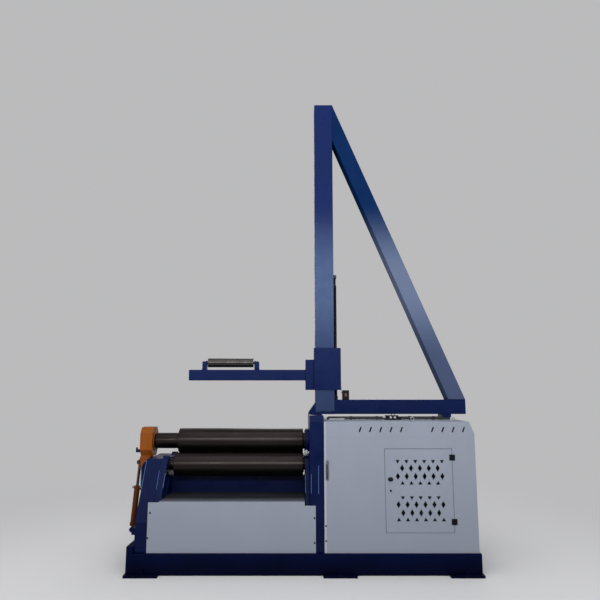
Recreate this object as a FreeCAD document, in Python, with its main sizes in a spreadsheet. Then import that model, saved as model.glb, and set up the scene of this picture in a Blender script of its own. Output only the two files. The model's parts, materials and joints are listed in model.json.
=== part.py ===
import FreeCAD, Part
import math
import os
import Sketcher

# Cone and plate rolling machine with three rolls, a drop end, an equipment cabinet and an overhead
# support arm that climbs a post. Millimetres; X runs along the rolls from the drop end to the
# cabinet, -Y is the front, +Z is up and the floor is at Z = 0 with the origin amid the base.

SIZES = {
    # Base frame and its floor anchors
    "base_depth": 1240,
    "base_height": 180,
    "side_beam_width": 150,
    "end_beam_width": 200,
    "cross_beam_width": 360,
    "end_rail_width": 60,
    "end_rail_height": 60,
    "base_end_margin": 15,
    "pad_length": 290,
    "pad_reach": 70,
    "pad_thickness": 22,
    "anchor_hole_radius": 13,
    "middle_anchor_offset": 130,
    # Roll housings
    "machine_depth": 1200,
    "cover_thickness": 8,
    "drive_gap": 57,
    "idle_gap": 115,
    "housing_thickness": 140,
    "drive_housing_thickness": 128,
    "idle_housing_above": 60,
    "drive_housing_above": 260,
    "housing_shoulder": 50,
    # Rolls
    "roll_length": 1220,
    "top_roll_radius": 120,
    "top_roll_height": 1090,
    "side_roll_radius": 108,
    "side_roll_drop": 210,
    "side_roll_offset": 180,
    "side_journal_radius": 50,
    "roll_shoulder_radius": 72,
    "roll_shoulder_length": 8,
    "idle_journal_radius": 75,
    "drive_journal_radius": 80,
    "drive_bearing_radius": 118,
    "drive_bearing_thickness": 36,
    # Inclined guides and the bearing blocks that slide in them
    "guide_tilt": 32,
    "guide_rail_width": 60,
    "guide_below": 320,
    "block_width": 128,
    "block_above": 60,
    "block_below": 90,
    "idle_block_thickness": 60,
    "drive_block_thickness": 40,
    "slide_clearance": 0.3,
    "shaft_clearance": 0.05,
    # Ties, deck and covers between the housings
    "tie_width": 120,
    "tie_below": 120,
    "tie_height": 220,
    "deck_height": 610,
    "deck_thickness": 8,
    "deck_side_gap": 5,
    "cover_left_overlap": 30,
    "cover_right_overlap": 52,
    "left_tab_drop": 7,
    "right_tab_drop": 35,
    # Drop end
    "drop_pivot_offset": 58,
    "drop_pivot_drop": 255,
    "drop_pin_radius": 16,
    "knuckle_radius": 34,
    "knuckle_half_width": 70,
    "lug_gap": 5,
    "lug_width": 25,
    "yoke_left_reach": 50,
    "yoke_right_reach": 68,
    "yoke_depth": 250,
    "yoke_above": 132,
    "yoke_below": 144,
    "yoke_top_chamfer": 55,
    "yoke_foot_chamfer": 62,
    "leg_right_reach": 36,
    "seat_radius": 60,
    "seat_clearance": 0.3,
    "seat_half_length": 36,
    "neck_radius": 44,
    "yoke_ring_radius": 88,
    "yoke_ring_hole": 68,
    "yoke_ring_thickness": 6,
    "yoke_ring_drop": 12,
    "journal_end_gap": 15,
    "yoke_cap_radius": 86,
    "yoke_cap_thickness": 8,
    "lever_reach": 74,
    "lever_rise": 50,
    "lever_radius": 24,
    "lever_cheek": 15,
    "clevis_half_gap": 21,
    "clevis_depth": 22,
    "clevis_roof": 6,
    "pin_head_radius": 17,
    "pin_head_thickness": 6,
    # Drop end cylinder
    "foot_reach": 120,
    "foot_rise": 72,
    "foot_pin_radius": 12,
    "foot_eye_radius": 24,
    "foot_cheek": 14,
    "foot_plate_thickness": 10,
    "eye_half_width": 16,
    "rod_eye_radius": 18,
    "ram_radius": 27,
    "ram_head_radius": 31,
    "ram_head_length": 26,
    "ram_neck_radius": 14,
    "ram_start": 34,
    "ram_length": 405,
    "ram_rod_radius": 14,
    "ram_rod_start": 300,
    "ram_bore_start": 180,
    "ram_port_radius": 9,
    "ram_port_reach": 46,
    # Equipment cabinet
    "cabinet_length": 1345,
    "cabinet_drop": 50,
    "panel_thickness": 5,
    "cabinet_floor_thickness": 4,
    "corner_cut_width": 45,
    "corner_cut_height": 105,
    # Cabinet door
    "door_inset": 540,
    "door_width": 595,
    "door_drop": 240,
    "door_height": 710,
    "door_gap": 5,
    "door_skin": 3,
    "door_depth": 22,
    "hinge_axis_stand_off": 7,
    "hinge_knuckle_radius": 6,
    "hinge_size": 50,
    "hinge_leaf_thickness": 4,
    "upper_hinge_drop": 73,
    "lower_hinge_rise": 90,
    "lock_inset": 46,
    "lock_drop": 260,
    "lock_width": 46,
    "lock_rise": 34,
    "lock_thickness": 9,
    "keyhole_radius": 9,
    "keyhole_drop": 98,
    # Openings of the door and the cabinet front
    "vent_inset": 112,
    "vent_pitch": 78.6,
    "vent_columns": 6,
    "vent_width": 37,
    "vent_half_height": 31,
    "vent_row_pitch": 70,
    "upper_vent_drop": 95,
    "lower_vent_drop": 405,
    "slot_pitch": 92.4,
    "left_slot_inset": 314,
    "left_slot_count": 5,
    "right_slot_inset": 962,
    "right_slot_count": 4,
    "slot_drop": 92,
    "slot_rise": 44,
    "slot_lean": 16,
    "slot_width": 9,
    # Overhead support
    "frame_width": 190,
    "post_inset": 65,
    "post_height": 3110,
    "foot_plate_height": 20,
    "foot_gusset_height": 90,
    "foot_plate_margin": 30,
    "beam_height": 140,
    "beam_overhang": 73,
    "beam_foot_inset": 163,
    "beam_foot_length": 90,
    "brace_width": 167,
    # Lift carriage and its arm
    "carriage_rise": 95,
    "carriage_height": 415,
    "carriage_wall": 12,
    "carriage_right_room": 53,
    "bracket_height": 300,
    "bracket_reach": 97,
    "bracket_plate": 14,
    "bracket_half_width": 70,
    "bracket_rib": 12,
    "arm_end_inset": 77,
    "arm_rise": 95,
    "arm_height": 105,
    "arm_width": 100,
    "lift_ram_offset": 19,
    "lift_ram_radius": 14,
    "lift_ram_length": 1160,
    "lift_rod_radius": 8,
    "lift_rod_rise": 125,
    "lift_bore_floor": 10,
    "lift_head_gap": 80,
    "lift_head_height": 30,
    "lift_strap_width": 30,
    "lift_strap_thickness": 12,
    "lift_strap_lap": 260,
    "lift_foot_height": 34,
    # Support roller on the arm
    "support_roller_inset": 185,
    "support_roller_length": 460,
    "support_roller_radius": 45,
    "support_roller_lift": 71,
    "support_axle_radius": 12,
    "support_axle_end": 6,
    "support_ear_gap": 9,
    "support_ear_thickness": 12,
    "support_ear_width": 60,
    "support_ear_foot": 50,
    "support_ear_foot_height": 10,
    "support_ear_margin": 20,
    # Limit switch box on the beam
    "switch_inset": 78,
    "switch_width": 66,
    "switch_depth": 60,
    "switch_height": 92,
}

doc = FreeCAD.newDocument("RollingMachine")
sheet = doc.addObject("Spreadsheet::Sheet", "Sizes")
for row, (alias, number) in enumerate(SIZES.items(), start=1):
    sheet.set(f"A{row}", alias)
    sheet.set(f"B{row}", str(number))
    sheet.setAlias(f"B{row}", alias)
doc.recompute()


class Size:
    """A number from the sheet, or one worked out from it: its value now and its expression."""

    def __init__(self, value, text):
        self.value = value
        self.text = text

    def __add__(self, other):
        other = as_size(other)
        return Size(self.value + other.value, f"({self.text} + {other.text})")

    def __radd__(self, other):
        return as_size(other) + self

    def __sub__(self, other):
        other = as_size(other)
        return Size(self.value - other.value, f"({self.text} - {other.text})")

    def __rsub__(self, other):
        return as_size(other) - self

    def __mul__(self, other):
        other = as_size(other)
        return Size(self.value * other.value, f"({self.text} * {other.text})")

    def __rmul__(self, other):
        return as_size(other) * self

    def __truediv__(self, other):
        other = as_size(other)
        return Size(self.value / other.value, f"({self.text} / {other.text})")

    def __neg__(self):
        return Size(-self.value, f"(-1 * {self.text})")


def as_size(number):
    """A plain number as a Size; a Size stays as it is."""
    return number if isinstance(number, Size) else Size(float(number), repr(number))


def sheet_size(alias):
    """The named size of the sheet."""
    return Size(float(sheet.get(alias)), f"Sizes.{alias}")


def sine(angle):
    return Size(math.sin(math.radians(angle.value)), f"sin({angle.text} * 1deg)")


def cosine(angle):
    return Size(math.cos(math.radians(angle.value)), f"cos({angle.text} * 1deg)")


def tangent(angle):
    return Size(math.tan(math.radians(angle.value)), f"tan({angle.text} * 1deg)")


def arc_tangent(ratio):
    """The angle in degrees whose tangent is the ratio."""
    return Size(math.degrees(math.atan(ratio.value)), f"atan({ratio.text})")


class SheetSizes:
    """Every size of the sheet, by its alias."""


s = SheetSizes()
for alias in SIZES:
    setattr(s, alias, sheet_size(alias))

ZERO = as_size(0)
nodes = []


def bind(feature, prop, size):
    """Ties one property of a feature to a size."""
    feature.setExpression(prop, as_size(size).text)


def place(feature, x=ZERO, y=ZERO, z=ZERO):
    """Ties a feature's position to three sizes."""
    for letter, size in (("x", x), ("y", y), ("z", z)):
        bind(feature, f"Placement.Base.{letter}", size)


def node(feature, label):
    """Gives a finished piece its name and lists it for export."""
    feature.Label = label
    nodes.append(feature)
    return feature


def box(x, y, z):
    """A box between a low and a high size on each axis."""
    feature = doc.addObject("Part::Box", "Box")
    bind(feature, "Length", x[1] - x[0])
    bind(feature, "Width", y[1] - y[0])
    bind(feature, "Height", z[1] - z[0])
    place(feature, x[0], y[0], z[0])
    return feature


AXIS_TURNS = {
    "X": FreeCAD.Rotation(FreeCAD.Vector(0, 1, 0), 90),
    "Y": FreeCAD.Rotation(FreeCAD.Vector(1, 0, 0), -90),
    "Z": FreeCAD.Rotation(),
}


def rod(axis, low, high, first, second, radius):
    """A cylinder along an axis between two sizes, round a centre on the other two axes."""
    feature = doc.addObject("Part::Cylinder", "Cylinder")
    feature.Placement = FreeCAD.Placement(FreeCAD.Vector(), AXIS_TURNS[axis])
    bind(feature, "Radius", radius)
    bind(feature, "Height", high - low)
    starts = {"X": (low, first, second), "Y": (first, low, second), "Z": (first, second, low)}
    place(feature, *starts[axis])
    return feature


PLANES = {"YZ": "YZ_Plane", "XZ": "XZ_Plane", "XY": "XY_Plane"}


def outline(body, plane, level, points):
    """A closed sketch of straight sides on a body's own plane, every corner tied to its sizes."""
    sketch = body.newObject("Sketcher::SketchObject", "Outline")
    role = PLANES[plane]
    own_plane = [item for item in body.Origin.OriginFeatures if item.Role == role][0]
    sketch.AttachmentSupport = [(own_plane, "")]
    sketch.MapMode = "FlatFace"
    bind(sketch, "AttachmentOffset.Base.z", level)
    corners = [FreeCAD.Vector(as_size(u).value, as_size(v).value, 0) for u, v in points]
    count = len(points)
    for index in range(count):
        sketch.addGeometry(Part.LineSegment(corners[index], corners[(index + 1) % count]), False)
    for index in range(count):
        sketch.addConstraint(Sketcher.Constraint("Coincident", index, 2, (index + 1) % count, 1))
    for index, pair in enumerate(points):
        for kind, size in zip(("DistanceX", "DistanceY"), pair):
            value = as_size(size).value
            number = sketch.addConstraint(Sketcher.Constraint(kind, -1, 1, index, 1, value))
            bind(sketch, f"Constraints[{number}]", size)
    return sketch


def prism(plane, low, high, points):
    """A body with one outline padded from a low to a high size along the plane's normal."""
    body = doc.addObject("PartDesign::Body", "Body")
    level = -as_size(high) if plane == "XZ" else as_size(low)
    sketch = outline(body, plane, level, points)
    pad = body.newObject("PartDesign::Pad", "Pad")
    pad.Profile = sketch
    bind(pad, "Length", as_size(high) - low)
    sketch.Visibility = False
    body.Tip = pad
    return body


def fuse(*shapes):
    feature = doc.addObject("Part::MultiFuse", "Fuse")
    feature.Shapes = list(shapes)
    return feature


def cut(base, *tools):
    feature = doc.addObject("Part::Cut", "Cut")
    feature.Base = base
    feature.Tool = tools[0] if len(tools) == 1 else fuse(*tools)
    return feature


def common(first, second):
    feature = doc.addObject("Part::Common", "Common")
    feature.Base = first
    feature.Tool = second
    return feature


def both_sides(low, high):
    """The same span on the front and on the rear of the machine."""
    return ((-high, -low), (low, high))


# Places worked out once from the driving sizes
roll_bay = s.end_rail_width + s.housing_thickness + s.idle_gap + s.roll_length + s.drive_gap
base_length = roll_bay + s.drive_housing_thickness + s.cabinet_length + s.base_end_margin
base_left = -base_length / 2
base_right = base_length / 2
base_half_depth = s.base_depth / 2
half_depth = s.machine_depth / 2
housing_half_depth = half_depth - s.cover_thickness
drive_face = base_left + roll_bay
drive_outer = drive_face + s.drive_housing_thickness
barrel_right = drive_face - s.drive_gap
barrel_left = barrel_right - s.roll_length
idle_face = barrel_left - s.idle_gap
idle_outer = idle_face - s.housing_thickness
slot_half = (s.block_width / 2 + s.slide_clearance) / cosine(s.guide_tilt)
idle_guide_face = idle_face + s.idle_block_thickness
drive_guide_face = drive_face - s.drive_block_thickness
pivot_x = idle_outer - s.drop_pivot_offset
pivot_z = s.top_roll_height - s.drop_pivot_drop
side_roll_z = s.top_roll_height - s.side_roll_drop
guide_top = side_roll_z + s.idle_housing_above
guide_bottom = side_roll_z - s.guide_below
cabinet_left = drive_outer
cabinet_right = drive_outer + s.cabinet_length
beam_bottom = s.top_roll_height + s.drive_housing_above
cabinet_top = beam_bottom - s.cabinet_drop
beam_top = beam_bottom + s.beam_height
post_left = drive_face + s.post_inset
post_right = post_left + s.frame_width
post_top = beam_top + s.post_height
beam_end = cabinet_right + s.beam_overhang
frame_half = s.frame_width / 2
carriage_bottom = beam_top + s.carriage_rise
carriage_top = carriage_bottom + s.carriage_height
arm_left = barrel_left + s.arm_end_inset
arm_bottom = carriage_bottom + s.arm_rise
arm_top = arm_bottom + s.arm_height
bracket_left = post_left - s.bracket_reach


def slot_centre(height):
    """Distance of an inclined guide's middle line from the roll plane at a height."""
    return s.side_roll_offset - (height - side_roll_z) * tangent(s.guide_tilt)


# Base frame: two long beams, end beams, one cross beam and a raised rail at the drop end
def build_base():
    full_length = (base_left, base_right)
    height = (ZERO, s.base_height)
    inner = base_half_depth - s.side_beam_width
    (front, rear) = both_sides(inner, base_half_depth)
    node(box(full_length, front, height), "base_front_beam")
    node(box(full_length, rear, height), "base_rear_beam")
    between = (-inner, inner)
    node(box((base_left, base_left + s.end_beam_width), between, height), "base_left_beam")
    node(box((base_right - s.end_beam_width, base_right), between, height), "base_right_beam")
    half_cross = s.cross_beam_width / 2
    node(box((-half_cross, half_cross), between, height), "base_cross_beam")
    rail = box((base_left, base_left + s.end_rail_width), (-base_half_depth, base_half_depth),
               (s.base_height, s.base_height + s.end_rail_height))
    node(rail, "base_end_rail")
    pads = []
    holes = []
    half_pad = s.pad_length / 2
    middle_anchor = drive_outer + s.middle_anchor_offset
    for centre in (base_left + half_pad, middle_anchor, base_right - half_pad):
        for (low, high) in both_sides(base_half_depth, base_half_depth + s.pad_reach):
            pads.append(box((centre - half_pad, centre + half_pad), (low, high), (ZERO, s.pad_thickness)))
            middle = (low + high) / 2
            holes.append(rod("Z", as_size(-1), s.pad_thickness + 1, centre, middle, s.anchor_hole_radius))
    node(cut(fuse(*pads), *holes), "anchor_pads")


# Roll housings: a low one with sloping sides at the drop end, a tall one at the drive end
def build_housings():
    top = guide_top
    top_half = slot_centre(top) + slot_half + s.guide_rail_width
    slope_foot = top - (housing_half_depth - top_half) / tangent(s.guide_tilt)
    foot = s.base_height
    idle = prism("YZ", idle_outer, idle_face, [
        (-housing_half_depth, foot), (housing_half_depth, foot), (housing_half_depth, slope_foot),
        (top_half, top), (-top_half, top), (-housing_half_depth, slope_foot)])
    node(idle, "idle_housing")
    top = beam_bottom
    shoulder = s.housing_shoulder
    drive = prism("YZ", drive_face, drive_outer, [
        (-housing_half_depth, foot), (housing_half_depth, foot),
        (housing_half_depth, top - shoulder), (housing_half_depth - shoulder, top),
        (shoulder - housing_half_depth, top), (-housing_half_depth, top - shoulder)])
    bore = rod("X", drive_face - 1, drive_outer + 1, ZERO, s.top_roll_height,
               s.drive_journal_radius + s.shaft_clearance)
    node(cut(drive, bore), "drive_housing")
    ring_start = drive_face - s.drive_bearing_thickness
    ring = rod("X", ring_start, drive_face, ZERO, s.top_roll_height, s.drive_bearing_radius)
    hole = rod("X", ring_start - 1, drive_face + 1, ZERO, s.top_roll_height,
               s.drive_journal_radius + s.shaft_clearance)
    node(cut(ring, hole), "top_roll_bearing")


# Guides: an inclined rail front and rear and a wedge between, on the inner face of a housing
def build_guides(label, low, high):
    top = guide_top
    bottom = guide_bottom
    inner_top = slot_centre(top) + slot_half
    inner_bottom = slot_centre(bottom) + slot_half
    width = s.guide_rail_width
    solids = []
    for side in (-1, 1):
        solids.append(prism("YZ", low, high, [
            (side * inner_bottom, bottom), (side * (inner_bottom + width), bottom),
            (side * (inner_top + width), top), (side * inner_top, top)]))
    wedge_top = slot_centre(top) - slot_half
    wedge_bottom = slot_centre(bottom) - slot_half
    solids.append(prism("YZ", low, high, [
        (-wedge_bottom, bottom), (wedge_bottom, bottom), (wedge_top, top), (-wedge_top, top)]))
    node(fuse(*solids), label)


# Bearing block of a side roll: a slanted block with a bore for the journal
def build_block(label, side, low, high):
    across = s.block_width / 2
    along_y = -side * sine(s.guide_tilt)
    along_z = cosine(s.guide_tilt)
    centre_y = side * s.side_roll_offset
    centre_z = side_roll_z
    corners = []
    for reach, way in ((-s.block_below, -1), (-s.block_below, 1), (s.block_above, 1), (s.block_above, -1)):
        y = centre_y + reach * along_y + way * across * along_z
        z = centre_z + reach * along_z - way * across * along_y
        corners.append((y, z))
    block = prism("YZ", low, high, corners)
    bore = rod("X", low - 1, high + 1, centre_y, centre_z, s.side_journal_radius + s.shaft_clearance)
    node(cut(block, bore), label)


# Side roll: barrel, shoulders and a journal at each end
def build_side_roll(label, side):
    y = side * s.side_roll_offset
    z = side_roll_z
    barrel = rod("X", barrel_left, barrel_right, y, z, s.side_roll_radius)
    shoulder = rod("X", barrel_left - s.roll_shoulder_length, barrel_right + s.roll_shoulder_length,
                   y, z, s.roll_shoulder_radius)
    journal = rod("X", idle_face + 1, drive_face - 1, y, z, s.side_journal_radius)
    node(fuse(barrel, shoulder, journal), label)


# Top roll: barrel, drive journal, idle journal and the crowned seat that the drop end holds
def build_top_roll():
    z = s.top_roll_height
    journal_end = pivot_x + s.yoke_right_reach + s.journal_end_gap
    barrel = rod("X", barrel_left, barrel_right, ZERO, z, s.top_roll_radius)
    drive_journal = rod("X", barrel_right, drive_outer - 5, ZERO, z, s.drive_journal_radius)
    idle_journal = rod("X", journal_end, barrel_left, ZERO, z, s.idle_journal_radius)
    neck = rod("X", pivot_x, journal_end, ZERO, z, s.neck_radius)
    ball = doc.addObject("Part::Sphere", "Ball")
    bind(ball, "Radius", s.seat_radius - s.seat_clearance)
    place(ball, pivot_x, ZERO, z)
    band = rod("X", pivot_x - s.seat_half_length, pivot_x + s.seat_half_length, ZERO, z, s.seat_radius + 5)
    node(fuse(barrel, drive_journal, idle_journal, neck, common(ball, band)), "top_roll")


# Tie beam, deck plates and the covers that close the roll bay front and rear
def build_bay():
    half_tie = s.tie_width / 2
    tie_top = side_roll_z - s.tie_below
    node(box((idle_guide_face, drive_guide_face), (-half_tie, half_tie), (tie_top - s.tie_height, tie_top)),
         "centre_tie")
    left = idle_guide_face + s.deck_side_gap
    right = drive_guide_face - s.deck_side_gap
    height = (s.deck_height - s.deck_thickness, s.deck_height)
    (front, rear) = both_sides(half_tie, housing_half_depth)
    node(box((left, right), front, height), "front_deck")
    node(box((left, right), rear, height), "rear_deck")
    cover_left = idle_face - s.cover_left_overlap
    cover_right = drive_face + s.cover_right_overlap
    points = [
        (cover_left, s.base_height), (cover_right, s.base_height),
        (cover_right, s.deck_height - s.right_tab_drop), (right, s.deck_height - s.right_tab_drop),
        (right, s.deck_height), (left, s.deck_height),
        (left, s.deck_height - s.left_tab_drop), (cover_left, s.deck_height - s.left_tab_drop)]
    (front, rear) = both_sides(housing_half_depth, half_depth)
    node(prism("XZ", *front, points), "front_cover")
    node(prism("XZ", *rear, points), "rear_cover")


# Drop end hinge: two lugs on the idle housing with the hinge pin through them
def build_drop_hinge():
    inner = s.knuckle_half_width + s.lug_gap
    outer = inner + s.lug_width
    solids = []
    for (low, high) in both_sides(inner, outer):
        solids.append(box((pivot_x, idle_outer), (low, high),
                          (pivot_z - s.knuckle_radius, pivot_z + s.knuckle_radius)))
        solids.append(rod("Y", low, high, pivot_x, pivot_z, s.knuckle_radius))
    solids.append(rod("Y", -outer, outer, pivot_x, pivot_z, s.drop_pin_radius))
    node(fuse(*solids), "drop_end_hinge")


# Yoke of the drop end: a bearing housing on a hinged leg, with the lever for its cylinder.
# Its channel is a piece of a ring round the hinge pin, so it leaves the roll without rubbing.
def build_yoke():
    left = pivot_x - s.yoke_left_reach
    right = pivot_x + s.yoke_right_reach
    half = s.yoke_depth / 2
    top_cut = s.yoke_top_chamfer
    foot_cut = s.yoke_foot_chamfer
    yoke_top = s.top_roll_height + s.yoke_above
    yoke_bottom = s.top_roll_height - s.yoke_below
    leg_top = yoke_bottom + foot_cut / 2
    head = prism("YZ", left, right, [
        (foot_cut - half, yoke_bottom), (half - foot_cut, yoke_bottom),
        (half, yoke_bottom + foot_cut), (half, yoke_top - top_cut),
        (half - top_cut, yoke_top), (top_cut - half, yoke_top),
        (-half, yoke_top - top_cut), (-half, yoke_bottom + foot_cut)])
    width = (-s.knuckle_half_width, s.knuckle_half_width)
    leg = box((left, pivot_x + s.leg_right_reach), width, (pivot_z, leg_top))
    knuckle = rod("Y", *width, pivot_x, pivot_z, s.knuckle_radius)
    lever_x = pivot_x - s.lever_reach
    lever_z = pivot_z + s.lever_rise
    cheek_half = s.clevis_half_gap + s.lever_cheek
    lever = prism("XZ", -cheek_half, cheek_half, [
        (pivot_x, pivot_z), (left, lever_z - s.lever_radius), (lever_x, lever_z - s.lever_radius),
        (lever_x - s.lever_radius, lever_z), (lever_x, lever_z + s.lever_radius),
        (left, leg_top), (pivot_x, leg_top)])
    lever_end = rod("Y", -cheek_half, cheek_half, lever_x, lever_z, s.lever_radius)
    solid = fuse(head, leg, knuckle, lever, lever_end)
    channel = doc.addObject("Part::Torus", "Channel")
    channel.Placement = FreeCAD.Placement(FreeCAD.Vector(), AXIS_TURNS["Y"])
    bind(channel, "Radius1", s.top_roll_height - pivot_z)
    bind(channel, "Radius2", s.seat_radius)
    place(channel, pivot_x, ZERO, pivot_z)
    clevis = box((lever_x - 2 * s.lever_radius, pivot_x - s.clevis_depth),
                 (-s.clevis_half_gap, s.clevis_half_gap),
                 (pivot_z - 2 * s.knuckle_radius, yoke_bottom - s.clevis_roof))
    pin_hole = rod("Y", width[0] - 1, width[1] + 1, pivot_x, pivot_z, s.drop_pin_radius + s.shaft_clearance)
    node(cut(solid, channel, clevis, pin_hole), "drop_end_yoke")
    ring_z = s.top_roll_height - s.yoke_ring_drop
    ring = rod("X", right, right + s.yoke_ring_thickness, ZERO, ring_z, s.yoke_ring_radius)
    ring_hole = rod("X", right - 1, right + s.yoke_ring_thickness + 1, ZERO, ring_z, s.yoke_ring_hole)
    node(cut(ring, ring_hole), "drop_end_bearing_ring")
    node(rod("X", left - s.yoke_cap_thickness, left, ZERO, ring_z, s.yoke_cap_radius), "drop_end_cap")
    heads = [rod("Y", *span, lever_x, lever_z, s.pin_head_radius)
             for span in both_sides(cheek_half, cheek_half + s.pin_head_thickness)]
    node(fuse(*heads), "drop_end_lever_pin")


foot_x = base_left - s.foot_reach
foot_z = s.base_height + s.foot_rise
lever_run = pivot_x - s.lever_reach - foot_x
lever_lift = pivot_z + s.lever_rise - foot_z


def lean_on_foot(feature):
    """Stands a piece drawn upright at the origin on the foot pin, leaning towards the lever."""
    feature.Placement = FreeCAD.Placement(
        FreeCAD.Vector(), FreeCAD.Rotation(FreeCAD.Vector(0, 1, 0), 4))
    place(feature, foot_x, ZERO, foot_z)
    bind(feature, "Placement.Rotation.Angle", arc_tangent(lever_run / lever_lift))
    return feature


# Cylinder that swings the drop end, its rod and the bracket it stands on
def build_drop_cylinder():
    half = s.eye_half_width
    eye = rod("Y", -half, half, ZERO, ZERO, s.foot_eye_radius)
    neck = rod("Z", ZERO, s.ram_start + 1, ZERO, ZERO, s.ram_neck_radius)
    barrel = rod("Z", s.ram_start, s.ram_length, ZERO, ZERO, s.ram_radius)
    tail = rod("Z", s.ram_start, s.ram_start + s.ram_head_length, ZERO, ZERO, s.ram_head_radius)
    head = rod("Z", s.ram_length - s.ram_head_length, s.ram_length, ZERO, ZERO, s.ram_head_radius)
    port_z = s.ram_length - s.ram_head_length / 2
    port = rod("X", -s.ram_port_reach, ZERO, ZERO, port_z, s.ram_port_radius)
    pin_hole = rod("Y", -half - 1, half + 1, ZERO, ZERO, s.foot_pin_radius + s.shaft_clearance)
    bore = rod("Z", s.ram_bore_start, s.ram_length + 1, ZERO, ZERO, s.ram_rod_radius + s.shaft_clearance)
    ram = cut(fuse(eye, neck, barrel, tail, head, port), pin_hole, bore)
    node(lean_on_foot(ram), "drop_end_cylinder")
    length = Size(math.hypot(lever_run.value, lever_lift.value),
                  f"sqrt({lever_run.text} * {lever_run.text} + {lever_lift.text} * {lever_lift.text})")
    shaft = rod("Z", s.ram_rod_start, length, ZERO, ZERO, s.ram_rod_radius)
    rod_eye = rod("Y", -half, half, ZERO, length, s.rod_eye_radius)
    node(lean_on_foot(fuse(shaft, rod_eye)), "drop_end_cylinder_rod")
    inner = half + 1
    outer = inner + s.foot_cheek
    solids = []
    for (low, high) in both_sides(inner, outer):
        solids.append(box((foot_x, base_left), (low, high),
                          (foot_z - 2 * s.foot_eye_radius, foot_z + s.foot_eye_radius / 2)))
        solids.append(rod("Y", low, high, foot_x, foot_z, s.foot_eye_radius))
    solids.append(rod("Y", -outer, outer, foot_x, foot_z, s.foot_pin_radius))
    back_half = outer + 3 * s.foot_plate_thickness
    solids.append(box((base_left - s.foot_plate_thickness, base_left), (-back_half, back_half),
                      (s.base_height / 2, s.base_height + s.end_rail_height)))
    node(fuse(*solids), "drop_cylinder_bracket")


door_left = cabinet_left + s.door_inset
door_right = door_left + s.door_width
door_top = cabinet_top - s.door_drop
door_bottom = door_top - s.door_height


# Cabinet: front and rear sheets with one cut corner, a bent side sheet, a top and a floor
def build_cabinet():
    top = cabinet_top
    foot = s.base_height
    sheet_half = half_depth - s.panel_thickness
    face = [
        (cabinet_left, foot), (cabinet_right, foot), (cabinet_right, top - s.corner_cut_height),
        (cabinet_right - s.corner_cut_width, top), (cabinet_left, top)]
    (front, rear) = both_sides(sheet_half, half_depth)
    panel = prism("XZ", *front, face)
    slot_low = top - s.slot_drop
    slot_high = slot_low + s.slot_rise
    for inset, count in ((s.left_slot_inset, s.left_slot_count), (s.right_slot_inset, s.right_slot_count)):
        start = cabinet_left + inset
        lean = start + s.slot_lean
        slot = [
            (start, slot_low), (start + s.slot_width, slot_low),
            (lean + s.slot_width, slot_high), (lean, slot_high)]
        row_of_holes(panel, front, slot, count, s.slot_pitch)
    doorway = box((door_left - s.door_gap, door_right + s.door_gap), (front[0] - 1, front[1] + 1),
                  (door_bottom - s.door_gap, door_top + s.door_gap))
    node(cut(panel, doorway), "cabinet_front")
    node(prism("XZ", *rear, face), "cabinet_rear")
    inner = cabinet_right - s.panel_thickness
    corner_inner = cabinet_right - s.corner_cut_width - s.panel_thickness
    side = [
        (inner, foot), (cabinet_right, foot), (cabinet_right, top - s.corner_cut_height),
        (cabinet_right - s.corner_cut_width, top), (corner_inner, top), (inner, top - s.corner_cut_height)]
    node(prism("XZ", -sheet_half, sheet_half, side), "cabinet_side")
    depth = (-sheet_half, sheet_half)
    node(box((cabinet_left, corner_inner), depth, (top - s.panel_thickness, top)), "cabinet_top")
    node(box((cabinet_left, inner), depth, (foot, foot + s.cabinet_floor_thickness)), "cabinet_floor")


def row_of_holes(body, span, points, count, pitch):
    """Cuts one outline through a sheet that faces the front, and repeats it along X."""
    sketch = outline(body, "XZ", -span[1], points)
    pocket = body.newObject("PartDesign::Pocket", "Hole")
    pocket.Profile = sketch
    pocket.Type = "Length"
    pocket.Reversed = True
    bind(pocket, "Length", span[1] - span[0] + 1)
    sketch.Visibility = False
    body.Tip = pocket
    doc.recompute()
    pattern = body.newObject("PartDesign::LinearPattern", "Row")
    pattern.Originals = [pocket]
    pattern.Direction = (sketch, ["H_Axis"])
    pattern.Mode = "Spacing"
    bind(pattern, "Offset", pitch)
    bind(pattern, "Occurrences", count)
    body.Tip = pattern
    doc.recompute()


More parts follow.
